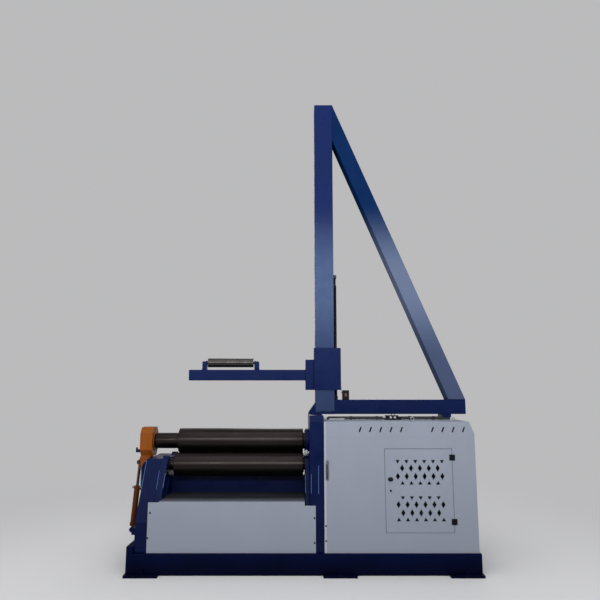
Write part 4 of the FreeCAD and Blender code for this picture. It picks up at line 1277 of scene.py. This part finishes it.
@dataclass
class DropEnd:
    """The tilting bearing of the top roll, its hinge, its cylinder and their bolts."""

    pivot_height: float = 0.835
    ring_height: float = 1.078
    ring_screw_circle: float = 0.078
    ring_screw_radius: float = 0.0055
    cap_bolt_circle: float = 0.068
    cap_bolt_radius: float = 0.009
    cap_washer_radius: float = 0.012
    foot: tuple[float, float] = (-1.660, 0.252)
    lever: tuple[float, float] = (-1.612, 0.885)
    port_along: float = 0.392
    port_out: float = 0.030
    port_union: Rows = ((0, 0), (0, 0.0135), (0.011, 0.0135), (0.012, 0.012), (0.012, 0))
    plate_foot: float = 0.632
    plate_gap: float = 0.0005
    plate_thickness: float = 0.012
    plate_step: float = 0.002
    plate_shoulder: tuple[float, float] = (0.028, 0.892)
    plate_top: float = 0.905
    edge_margins: tuple[float, float] = (0.02, 0.01)
    strip_margin: float = 0.001
    side_strip: tuple[float, float] = (-0.0008, 0.004)
    face_strip: tuple[float, float] = (0.001, 0.007)
    face_strip_depths: tuple[float, float] = (0.010, 0.0126)
    strip_margin: float = 0.001
    side_strip: tuple[float, float] = (-0.0008, 0.004)
    face_strip: tuple[float, float] = (0.001, 0.007)
    face_strip_depths: tuple[float, float] = (0.010, 0.0126)
    bracket_reach: float = 0.036
    bracket_depths: tuple[float, float] = (-0.098, -0.062)
    bracket_heights: tuple[float, float, float] = (0.984, 1.012, 1.030)
    bracket_flange: float = 0.010
    bracket_overlap: float = 0.002
    bracket_corner: float = 0.004
    bracket_overlap: float = 0.002
    bracket_corner: float = 0.004

    def build(self) -> None:
        """Builds every piece of the drop end."""
        dress("drop_end_hinge", NAVY, PLATE_EDGE)
        dress("drop_end_yoke", ORANGE, CAST_EDGE, 3)
        dress("drop_end_bearing_ring", ORANGE, FINE_EDGE)
        dress("drop_end_cap", ORANGE, PLATE_EDGE)
        dress("drop_end_lever_pin", DARK_BOLT, SHEET_EDGE)
        dress("drop_end_cylinder", CYLINDER_ORANGE, SHEET_EDGE)
        dress("drop_end_cylinder_rod", OILED_ROD, FINE_EDGE)
        dress("drop_cylinder_bracket", NAVY, PLATE_EDGE)
        self.build_bolts()
        self.build_port()
        self.build_plates()
        self.build_bracket()

    def build_plates(self) -> None:
        """Carries the hinge lugs down the housing with two plates, and lays pale strips along their edges as
        painted highlights.
        """
        hinge_low, hinge_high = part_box("drop_end_hinge")
        left, right, face = hinge_low.x - self.plate_step, hinge_high.x, hinge_high.y
        inset, shoulder = self.plate_shoulder
        corners = [(right, self.plate_foot), (left, self.plate_foot), (left, self.pivot_height),
                   (left + inset, shoulder), (right, self.plate_top)]
        outline = round_corners(corners, np.array([0.0, 0.006, 0.02, 0.012, 0.0]))
        low, high = self.plate_foot + self.edge_margins[0], self.pivot_height - self.edge_margins[1]
        shell, edges = Shell(), Shell()
        for side in SIDES:
            start, end = mirrored(side, face + self.plate_gap, face + self.plate_thickness)
            shell.join(prism("XZ", start, end, outline))
            edges.join(block((left + self.side_strip[0], start + self.strip_margin, low),
                             (left + self.side_strip[1], end - self.strip_margin, high)))
            start, end = mirrored(side, *(face + depth for depth in self.face_strip_depths))
            edges.join(block((left + self.face_strip[0], start, low), (left + self.face_strip[1], end, high)))
        make_piece("hinge_support_plates", shell, NAVY, "machine", bevel=PLATE_EDGE)
        make_piece("hinge_plate_highlights", edges, HIGHLIGHT_PALE, "machine", bevel=STRIP_EDGE)

    def build_bracket(self) -> None:
        """Sets the small blue bracket on the yoke beside the cap: a shelf with a raised end."""
        cap_low, cap_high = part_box("drop_end_cap")
        near, far = self.bracket_depths
        low, shelf, top = self.bracket_heights
        left = cap_low.x - self.bracket_reach
        shell = block((left, near, low), (cap_high.x, far, shelf), self.bracket_corner, "XZ")
        shell.join(block((left, near, shelf - self.bracket_overlap), (left + self.bracket_flange, far, top)))
        make_piece("drop_end_bracket", shell, GUIDE_NAVY, "drop_end", bevel=FOLD_EDGE)

    def build_bolts(self) -> None:
        """Sets the screws of the bearing ring and of the cap."""
        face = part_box("drop_end_bearing_ring")[1].x
        places = circle_of(8, self.ring_screw_circle, (face, 0, self.ring_height), RIGHT, 0.5)
        screws = fasteners(Head.SOCKET, self.ring_screw_radius, places, RIGHT)
        make_piece("bearing_ring_screws", screws, DARK_BOLT, "drop_end", crease=HEX_CREASE)
        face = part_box("drop_end_cap")[0].x
        places = circle_of(6, self.cap_bolt_circle, (face, 0, self.ring_height), RIGHT, 0.5)
        bolts = fasteners(Head.HEX, self.cap_bolt_radius, places, LEFT, self.cap_washer_radius)
        make_piece("cap_bolts", bolts, DARK_BOLT, "drop_end", crease=HEX_CREASE)

    def build_port(self) -> None:
        """Puts a hexagon union on the cylinder's port."""
        up = unit(np.array((self.lever[0] - self.foot[0], 0.0, self.lever[1] - self.foot[1])))
        out = np.array((-up[2], 0.0, up[0]))
        start = np.array((self.foot[0], 0.0, self.foot[1])) + up * self.port_along + out * self.port_out
        shell = revolve(self.port_union, tuple(start), tuple(out), 6)
        make_piece("cylinder_port_union", shell, ZINC, "drop_cylinder", crease=HEX_CREASE)


@dataclass
class Cabinet:
    """Sheet metal cabinet with its vented door."""

    slot_groups: tuple[tuple[float, int], ...] = ((0.314, 5), (0.962, 4))
    slot_pitch: float = 0.0924
    slot_drop: float = 0.092
    slot_rise: float = 0.044
    slot_lean: float = 0.016
    lip_width: float = 0.0052
    lip_depths: tuple[float, float] = (-0.0006, 0.002)
    door_gap: float = 0.005
    lining_thickness: float = 0.002
    lining_depths: tuple[float, float] = (0.0008, 0.026)
    bolt_x: float = 0.193
    bolt_heights: tuple[float, float] = (0.406, 0.281)
    bolt_radius: float = 0.008
    hinge_heights: tuple[float, float] = (0.440, 0.987)
    hinge_screw_inset: float = 0.007
    hinge_screw_spread: float = 0.015
    hinge_screw_depth: float = -0.604
    hinge_screw_radius: float = 0.004
    keyhole: tuple[Point, Point] = ((0.7645, -0.6102, 0.691), (0.7675, -0.600, 0.713))
    lock_bar: tuple[Point, Point] = ((0.757, -0.611, 0.797), (0.775, -0.608, 0.803))
    seam_height: float = 1.165
    seam_half: float = 0.0014
    seam_rise: float = 0.0009
    seam_sink: float = 0.002
    seam_margins: tuple[float, float] = (0.03, 0.004)
    lock_bar_corner: float = 0.002
    seam_sink: float = 0.002
    seam_margins: tuple[float, float] = (0.03, 0.004)
    lock_bar_corner: float = 0.002
    eye_x: float = 0.98
    eye_depth: float = 0.565
    eye_lift: float = 0.022
    eye_reach: float = 0.0155
    eye_wire: float = 0.0042
    eye_collar: Rows = ((-0.001, 0), (-0.001, 0.014), (0.004, 0.014), (0.005, 0.009), (0.009, 0.0065),
                        (0.009, 0))

    def build(self) -> None:
        """Builds the sheets, the door, its fittings and the screws."""
        dress("cabinet_front", CABINET, FOLD_EDGE)
        for side in ("rear", "side", "top", "floor"):
            dress(f"cabinet_{side}", PANEL, FOLD_EDGE)
        dress("cabinet_door", PANEL, THIN_EDGE, 1)
        dress("door_hinge_leaves", BLACK, LEAF_EDGE)
        dress("cabinet_hinge_leaves", BLACK, LEAF_EDGE)
        dress("door_lock", BLACK, SHEET_EDGE)
        self.build_screws()
        self.build_lock()
        self.build_seam()
        self.build_eyes()
        self.build_slot_shade_lips()
        self.build_door_lining()

    def build_slot_shade_lips(self) -> None:
        """Frames each slanted slot with a black lip, painted shade that makes the slot's dark opening read as
        wide as it is.
        """
        low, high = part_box("cabinet_front")
        foot = high.z - self.slot_drop
        start, end = (low.y + depth for depth in self.lip_depths)
        outline = np.array([(-self.lip_width, foot), (0, foot), (self.slot_lean, foot + self.slot_rise),
                            (self.slot_lean - self.lip_width, foot + self.slot_rise)])
        shell = Shell()
        for inset, count in self.slot_groups:
            for step in range(count):
                shell.join(prism("XZ", start, end, outline + (low.x + inset + step * self.slot_pitch, 0)))
        make_piece("cabinet_slot_shade_lips", shell, BLACK, "machine")

    def build_door_lining(self) -> None:
        """Lines the doorway with thin strips of the cabinet's own sheet."""
        low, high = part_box("cabinet_door")
        gap, thick = self.door_gap, self.lining_thickness
        front, back = (low.y + depth for depth in self.lining_depths)
        shell = Shell()
        for edge in (low.x - gap, high.x + gap - thick):
            shell.join(block((edge, front, low.z - gap), (edge + thick, back, high.z + gap)))
        for edge in (low.z - gap, high.z + gap - thick):
            shell.join(block((low.x - gap + thick, front, edge), (high.x + gap - thick, back, edge + thick)))
        make_piece("doorway_lining", shell, PANEL, "machine", bevel=STRIP_EDGE)

    def build_screws(self) -> None:
        """Sets the button bolts of the sheets and the screws of the hinge leaves."""
        for side, name in SIDES.items():
            places = [(self.bolt_x, side * SHEET_FACE, z) for z in self.bolt_heights]
            shell = fasteners(Head.BUTTON, self.bolt_radius, places, (0, side, 0))
            make_piece(f"cabinet_{name}_bolts", shell, DARK_BOLT, "machine", crease=TURNED_CREASE)
        door_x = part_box("door_hinge_leaves")[0].x + self.hinge_screw_inset
        post_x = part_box("cabinet_hinge_leaves")[1].x - self.hinge_screw_inset
        for body, x in (("door", door_x), ("machine", post_x)):
            places = [(x, self.hinge_screw_depth, z + lift * self.hinge_screw_spread)
                      for z in self.hinge_heights for lift in (-1, 1)]
            shell = fasteners(Head.BUTTON, self.hinge_screw_radius, places, FORWARD)
            make_piece(f"hinge_screws_{body}", shell, BLACK, body, crease=TURNED_CREASE)

    def build_lock(self) -> None:
        """Lays the keyhole's dark strip, painted shade of the hole, and the bar that turns the lock on the
        door.
        """
        make_piece("keyhole_shade_strip", block(*self.keyhole), DARK_BOLT, "door", bevel=TRIM_EDGE)
        bar = block(*self.lock_bar, self.lock_bar_corner, "XZ")
        make_piece("lock_turn", bar, DARK_BOLT, "door", bevel=THIN_EDGE)

    def build_seam(self) -> None:
        """Runs the folded seam across the front below the slots."""
        low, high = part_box("cabinet_front")
        left, right = low.x + self.seam_margins[0], high.x - self.seam_margins[1]
        seam = block((left, low.y - self.seam_rise, self.seam_height - self.seam_half),
                     (right, low.y + self.seam_sink, self.seam_height + self.seam_half))
        make_piece("cabinet_front_seam", seam, PANEL, "machine", bevel=TRIM_EDGE)

    def build_eyes(self) -> None:
        """Stands an eye bolt front and rear on the top: P = c + (R + r cos b) e(a) + r sin b n."""
        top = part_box("cabinet_top")[1].z
        around = np.linspace(0, TAU, 36, endpoint=False)[:, None]
        across = np.linspace(0, TAU, 12, endpoint=False)[None, :]
        reach = self.eye_reach + self.eye_wire * np.cos(across)
        ring = np.stack([reach * np.cos(around), self.eye_wire * np.sin(across) + 0 * around,
                         reach * np.sin(around)], axis=-1)
        closed = np.concatenate([ring, ring[:1]])
        for side, name in SIDES.items():
            x, y = self.eye_x, side * self.eye_depth
            shell = Shell().add(closed + (x, y, top + self.eye_lift), grid_faces(len(closed), 12, True))
            shell.join(revolve(self.eye_collar, (x, y, top), UP, 20))
            make_piece(f"cabinet_{name}_eye", shell, ZINC, "machine", crease=TURNED_CREASE)


@dataclass(frozen=True)
class Pipe:
    """One bent pipe on the cabinet top: its depth, its lift, its two ends and its radius."""

    depth: float
    lift: float
    start: float
    end: float
    radius: float


@dataclass
class TopLines:
    """Pipes, valve block and pale fittings on the cabinet top, under the beam."""

    pipes: tuple[Pipe, ...] = (
        Pipe(-0.165, 0.020, 0.235, 1.33, 0.011), Pipe(-0.205, 0.014, 0.30, 0.80, 0.009),
        Pipe(-0.205, 0.014, 0.92, 1.43, 0.009))
    pipe_bend: float = 0.013
    pipe_sink: float = 0.004
    clips: tuple[float, ...] = (0.45, 0.70, 1.02, 1.25)
    clip_size: Point = (0.016, 0.074, 0.034)
    clip_depth: float = -0.222
    clip_corner: float = 0.004
    clip_corner: float = 0.004
    valve: tuple[Point, Point, float] = ((0.785, -0.262, 0.0), (0.905, -0.178, 0.042), 0.004)
    coil: tuple[Point, Point, float] = ((0.905, -0.252, 0.0), (0.935, -0.188, 0.030), 0.003)
    nut: Rows = ((0, 0), (0, 0.012), (0.012, 0.012), (0.014, 0.009), (0.026, 0.009), (0.027, 0.007),
                 (0.027, 0))
    nuts: tuple[tuple[Point, Point], ...] = (
        ((0.905, -0.235, 0.036), RIGHT), ((0.785, -0.235, 0.026), LEFT), ((0.83, -0.262, 0.024), FORWARD),
        ((0.87, -0.262, 0.024), FORWARD), ((1.415, -0.235, 0.0), UP), ((1.445, -0.215, 0.0), UP))
    pale_pipe: Point = (0.25, -0.232, 0.0065)
    pale_pipe_length: float = 0.14
    pale_pipe_radius: float = 0.006

    def build(self) -> None:
        """Builds the four pieces, all measured up from the cabinet top."""
        top = np.array((0, 0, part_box("cabinet_top")[1].z))
        pipes = Shell()
        for pipe in self.pipes:
            corners = np.array([(x, pipe.depth, z) for x, z in (
                (pipe.start, -self.pipe_sink), (pipe.start, pipe.lift), (pipe.end, pipe.lift),
                (pipe.end, -self.pipe_sink))])
            chain = round_corners(corners + top, min(self.pipe_bend, pipe.lift * 0.9), 6, closed=False)
            pipes.join(tube(chain, pipe.radius, 14))
        make_piece("top_pipes", pipes, RUBBER, "machine", crease=PIPE_CREASE)
        clips = Shell()
        for x in self.clips:
            low = top + (x, self.clip_depth, 0)
            clips.join(block(tuple(low), tuple(low + self.clip_size), self.clip_corner, "YZ"))
        make_piece("pipe_clips", clips, DARK_BOLT, "machine", bevel=FINE_EDGE)
        valve = Shell()
        for low, high, corner in (self.valve, self.coil):
            valve.join(block(tuple(top + low), tuple(top + high), corner))
        make_piece("top_valve_block", valve, BLACK, "machine", bevel=PLATE_EDGE)
        pale = Shell()
        for place, axis in self.nuts:
            pale.join(revolve(self.nut, tuple(top + place), axis, 6))
        pipe = rod(self.pale_pipe_length, self.pale_pipe_radius)
        pale.join(revolve(pipe, tuple(top + self.pale_pipe), RIGHT, 14))
        make_piece("top_pale_fittings", pale, PALE, "machine", crease=TURNED_CREASE)


@dataclass
class OverheadSupport:
    """Post, beam, brace and their feet, welded from box section."""

    bead: float = 0.005
    frame_half: float = 0.095
    tube_round: float = 0.006
    edge_offset: float = 0.005
    beam_margin: float = 0.002
    tip_margin: float = 0.004
    edge_offset: float = 0.005
    beam_margin: float = 0.002
    tip_margin: float = 0.004
    brace_foot: float = 0.167
    post_bolts: tuple[float, ...] = (0.085, 0.195, 0.285)
    post_bolt_depth: float = 0.110
    post_bolt_lift: float = 0.020
    bolt_radius: float = 0.0115
    bolt_washer: float = 0.0145

    def build(self) -> None:
        """Builds the frame, its welds and its foot bolts."""
        for node, paint in (("post", POST_NAVY), ("beam", NAVY), ("brace", BRACE_NAVY)):
            dress(f"overhead_{node}", paint, TUBE_EDGE, 3)
        dress("post_foot", NAVY, PLATE_EDGE)
        dress("beam_foot", NAVY, BLOCK_EDGE)
        self.build_welds()
        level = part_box("post_foot")[0].z + self.post_bolt_lift
        places = [(x, side * self.post_bolt_depth, level) for x in self.post_bolts for side in SIDES]
        shell = fasteners(Head.HEX, self.bolt_radius, places, UP, self.bolt_washer)
        make_piece("post_foot_bolts", shell, NAVY, "machine", crease=HEX_CREASE)

    def build_welds(self) -> None:
        """Lays weld beads round the joints of the frame."""
        post_low, post_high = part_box("overhead_post")
        beam_low, beam_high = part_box("overhead_beam")
        foot_low, foot_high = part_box("beam_foot")
        half = self.frame_half - self.tube_round
        edge = half + self.edge_offset
        right, tip, deck = post_high.x, beam_high.x, beam_high.z
        toe = tip - self.brace_foot
        slope = (post_high.z - deck) / (tip - right)
        crown = post_high.z - self.tube_round
        joint = post_high.z - self.brace_foot * slope
        beam_foot = beam_low.z + self.beam_margin
        loops = [
            [(right, -half, beam_foot), (right, -half, deck), (right, half, deck), (right, half, beam_foot)],
            *([(post_low.x, side * half, post_low.z), (right, side * half, post_low.z)] for side in SIDES),
            [(toe, -half, deck), (toe, half, deck)],
            *([(toe, side * edge, deck), (tip - self.tip_margin, side * edge, deck)] for side in SIDES),
            [(x, y, foot_low.z) for x, y in ((foot_low.x, -half), (foot_high.x, -half), (foot_high.x, half),
                                             (foot_low.x, half), (foot_low.x, -half))],
            [(right, -edge, crown), (right, -edge, joint), (right, half, joint), (right, edge, crown)],
        ]
        shell = Shell()
        for ends in loops:
            shell.join(tube(line_of(*ends), self.bead, 8, BEAD_RIPPLE))
        make_piece("overhead_weld_beads", shell, NAVY, "machine", crease=BEAD_CREASE)


@dataclass
class LimitSwitch:
    """Switch on the beam: case, brown cover, screws, lever and roller."""

    cover_inset: float = 0.022
    cover_margin: float = 0.030
    cover_rise: float = 0.003
    cover_sink: float = 0.002
    cover_corner: float = 0.005
    cover_sink: float = 0.002
    cover_corner: float = 0.005
    screw_insets: tuple[float, float] = (0.007, 0.009)
    screw_radius: float = 0.0035
    lever_depth: float = 0.030
    lever_half: float = 0.005
    lever_lift: float = 0.030
    lever_reach: tuple[float, float] = (0.011, 0.006)
    hub_radius: float = 0.009
    hub_length: float = 0.012
    hub_start: float = 0.003
    hub_drop: float = 0.018
    wheel_length: float = 0.007
    wheel_lift: float = 0.028

    def build(self) -> None:
        """Builds the switch round its case."""
        low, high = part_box("limit_switch_box")
        dress("limit_switch_box", BLACK, BLOCK_EDGE, 3)
        cover = block((low.x + self.cover_inset, low.y - self.cover_rise, low.z + self.cover_margin),
                      (high.x - self.cover_inset, low.y + self.cover_sink, high.z - self.cover_margin),
                      self.cover_corner, "XZ")
        make_piece("limit_switch_cover", cover, BROWN, "machine", bevel=FINE_EDGE)
        across, up = self.screw_insets
        screws = [(x, low.y, z) for x in (low.x + across, high.x - across) for z in (low.z + up, high.z - up)]
        shell = fasteners(Head.BUTTON, self.screw_radius, screws, FORWARD)
        make_piece("limit_switch_screws", shell, DARK_BOLT, "machine", crease=TURNED_CREASE)
        depth, axle = low.y + self.lever_depth, high.z - self.hub_drop
        outer, inner = (low.x - reach for reach in self.lever_reach)
        hub, wheel = rod(self.hub_length, self.hub_radius), rod(self.wheel_length, self.hub_radius)
        shell = revolve(hub, (low.x + self.hub_start, depth, axle), LEFT, 20)
        shell.join(block((outer, depth - self.lever_half, axle),
                         (inner, depth + self.lever_half, high.z + self.lever_lift)))
        shell.join(revolve(wheel, (outer, depth, high.z + self.wheel_lift), LEFT, 20))
        make_piece("limit_switch_lever", shell, ZINC, "machine", crease=TURNED_CREASE)


@dataclass
class Lift:
    """Carriage, bracket, arm, lifting cylinder and the support roller on the arm."""

    screw_radius: float = 0.0085
    screw_washer: float = 0.012
    screw_insets: Point = (0.04, 0.09, 0.045)
    bead: float = 0.0045
    bead_inset: float = 0.003
    bead_margin: float = 0.004
    axle_end: float = 0.006
    cheek_gap: float = 0.014
    cheek_inset: float = 0.004
    cheek_drop: float = 0.006
    cheek_corner: float = 0.008

    def build(self) -> None:
        """Builds everything that climbs the post."""
        dress("lift_carriage", NAVY, BLOCK_EDGE, 3)
        dress("arm_bracket", NAVY, PLATE_EDGE)
        dress("support_arm", NAVY, ARM_EDGE, 3)
        dress("lift_cylinder", BLACK, SHEET_EDGE)
        dress("lift_link", DARK_BOLT, FINE_EDGE)
        dress("support_roller", DULL_ROLL, PLATE_EDGE)
        dress("support_roller_ears", NAVY, PLATE_EDGE)
        self.build_cheeks()
        self.build_screws()
        self.build_welds()

    def build_cheeks(self) -> None:
        """Stiffens each roller ear with two cheeks that leave the axle's end free between them."""
        low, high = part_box("support_roller_ears")
        roller_low, roller_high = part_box("support_roller")
        inset = self.cheek_inset
        shell = Shell()
        for start, end in ((low.x + inset, roller_low.x + self.axle_end),
                           (roller_high.x - self.axle_end, high.x - inset)):
            for side in SIDES:
                near, far = mirrored(side, self.cheek_gap, high.y)
                shell.join(block((start, near, low.z + inset), (end, far, high.z - self.cheek_drop),
                                 self.cheek_corner, "XZ"))
        make_piece("roller_ear_cheeks", shell, NAVY, "carriage", bevel=FINE_EDGE)

    def build_screws(self) -> None:
        """Sets four adjusting screws on the carriage's front and two on its rear."""
        low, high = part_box("lift_carriage")
        left, right, up = self.screw_insets
        places = np.array([(x, low.y, z) for x in (low.x + left, high.x - right)
                           for z in (low.z + up, high.z - up)])
        shell = fasteners(Head.HEX, self.screw_radius, places, FORWARD, self.screw_washer)
        rear = places[:2] * (1, -1, 1)
        shell.join(fasteners(Head.HEX, self.screw_radius, rear, (0, 1, 0), self.screw_washer))
        make_piece("carriage_adjusting_screws", shell, NAVY, "carriage", crease=HEX_CREASE)

    def build_welds(self) -> None:
        """Lays the weld beads of the arm and of the bracket."""
        low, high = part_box("support_arm")
        x, y = high.x, high.y - self.bead_inset
        ends = [(x, -y, low.z), (x, y, low.z), (x, y, high.z), (x, -y, high.z), (x, -y, low.z)]
        shell = tube(line_of(*ends), self.bead, 8, BEAD_RIPPLE)
        low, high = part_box("arm_bracket")
        for side in SIDES:
            y = side * high.y
            seam = line_of((high.x, y, low.z + self.bead_margin), (high.x, y, high.z))
            shell.join(tube(seam, self.bead, 8, BEAD_RIPPLE))
        make_piece("arm_weld_beads", shell, NAVY, "carriage", crease=BEAD_CREASE)


# Studio


@dataclass(frozen=True)
class Lamp:
    """One soft rectangular lamp, aimed at a point."""

    name: str
    place: Point
    target: Point
    size: tuple[float, float]
    power: float

    def build(self) -> None:
        """Adds the lamp to the scene; its power is in watts."""
        data = bpy.data.lights.new(self.name, "AREA")
        data.shape = "RECTANGLE"
        data.size, data.size_y = self.size
        data.energy = self.power
        lamp = bpy.data.objects.new(self.name, data)
        bpy.context.scene.collection.objects.link(lamp)
        lamp.location = self.place
        aim = Vector(self.target) - Vector(self.place)
        lamp.rotation_euler = aim.to_track_quat("-Z", "Y").to_euler()


@dataclass
class Studio:
    """Pale floor, soft light and the camera at the photograph's angle."""

    eye: Point = (-0.0345, -6.0, 1.54)
    tilt: float = math.radians(9.1)
    lens: float = 35.4
    pale: Colour = (0.62, 0.62, 0.63)
    world_light: float = 0.8
    floor_reach: float = 60.0
    floor_roughness: float = 0.85
    fade: tuple[float, float] = (2.4, 6.4)
    lamps: tuple[Lamp, ...] = (
        Lamp("overhead_softbox", (-0.6, -2.4, 6.4), (0.0, 0.2, 0.9), (5.5, 5.5), 140.0),
        Lamp("front_left_softbox", (-5.0, -6.5, 3.2), (-0.3, 0.0, 1.2), (4.0, 4.0), 40.0),
        Lamp("front_right_softbox", (5.5, -6.0, 3.0), (0.5, 0.0, 1.6), (4.0, 4.0), 30.0),
        Lamp("window_strip", (-0.4, -9.0, 4.3), (-0.6, 0.0, 1.05), (8.0, 0.45), 430.0),
        Lamp("rear_softbox", (1.0, 6.5, 4.5), (0.0, 0.0, 1.5), (5.0, 5.0), 110.0))

    def build(self) -> None:
        """Builds the floor, the world, the lamps and the camera."""
        self.build_floor()
        self.build_world()
        for lamp in self.lamps:
            lamp.build()
        camera = bpy.data.objects.new("camera", bpy.data.cameras.new("camera"))
        bpy.context.scene.collection.objects.link(camera)
        camera.location = self.eye
        camera.rotation_euler = (math.pi / 2 + self.tilt, 0, 0)
        camera.data.lens = self.lens
        camera.data.sensor_width = 36.0
        camera.data.dof.use_dof = False
        camera.data.clip_end = 200.0
        bpy.context.scene.camera = camera
        bpy.context.scene.view_settings.view_transform = "Standard"

    def build_floor(self) -> None:
        """Lays a wide disc whose colour fades into the backdrop's with distance."""
        around = np.arange(64)
        disc = circle_of(len(around), self.floor_reach, (0, 0, 0), UP)
        fan = np.stack([0 * around, around + 1, (around + 1) % len(around) + 1], axis=1)
        floor = place("floor", mesh_of("floor", Shell().add(np.concatenate([[(0, 0, 0)], disc]), fan)))
        material = bpy.data.materials.new("pale_floor")
        material.use_nodes = True
        w = Wiring(material.node_tree)
        shader = material.node_tree.nodes["Principled BSDF"]
        w.lead(self.pale, shader, "Base Color")
        w.lead(self.floor_roughness, shader, "Roughness")
        away = w.put("ShaderNodeVectorMath", {0: w.where()}, operation="LENGTH").outputs["Value"]
        glow = w.put("ShaderNodeEmission", {"Color": self.pale, "Strength": self.world_light})
        both = {0: w.remap(away, *self.fade), 1: shader.outputs[0], 2: glow.outputs[0]}
        mixed = w.put("ShaderNodeMixShader", both)
        w.lead(mixed.outputs[0], material.node_tree.nodes["Material Output"], "Surface")
        floor.data.materials.append(material)

    def build_world(self) -> None:
        """Sets a pale world that lights softly, the same for every ray."""
        world = bpy.data.worlds.new("soft_world")
        bpy.context.scene.world = world
        world.use_nodes = True
        w, background = Wiring(world.node_tree), world.node_tree.nodes["Background"]
        w.lead(self.pale, background, "Color")
        w.lead(self.world_light, background, "Strength")


def main() -> None:
    """Builds the studio and the machine."""
    logging.basicConfig(level=logging.INFO, format="%(message)s")
    for part in (Studio(), BaseFrame(), Housings(), Rolls(), RollBay(), DropEnd(), Cabinet(), TopLines(),
                 OverheadSupport(), LimitSwitch(), Lift()):
        part.build()
        LOG.info("%s built", type(part).__name__)


if __name__ == "__main__":
    main()
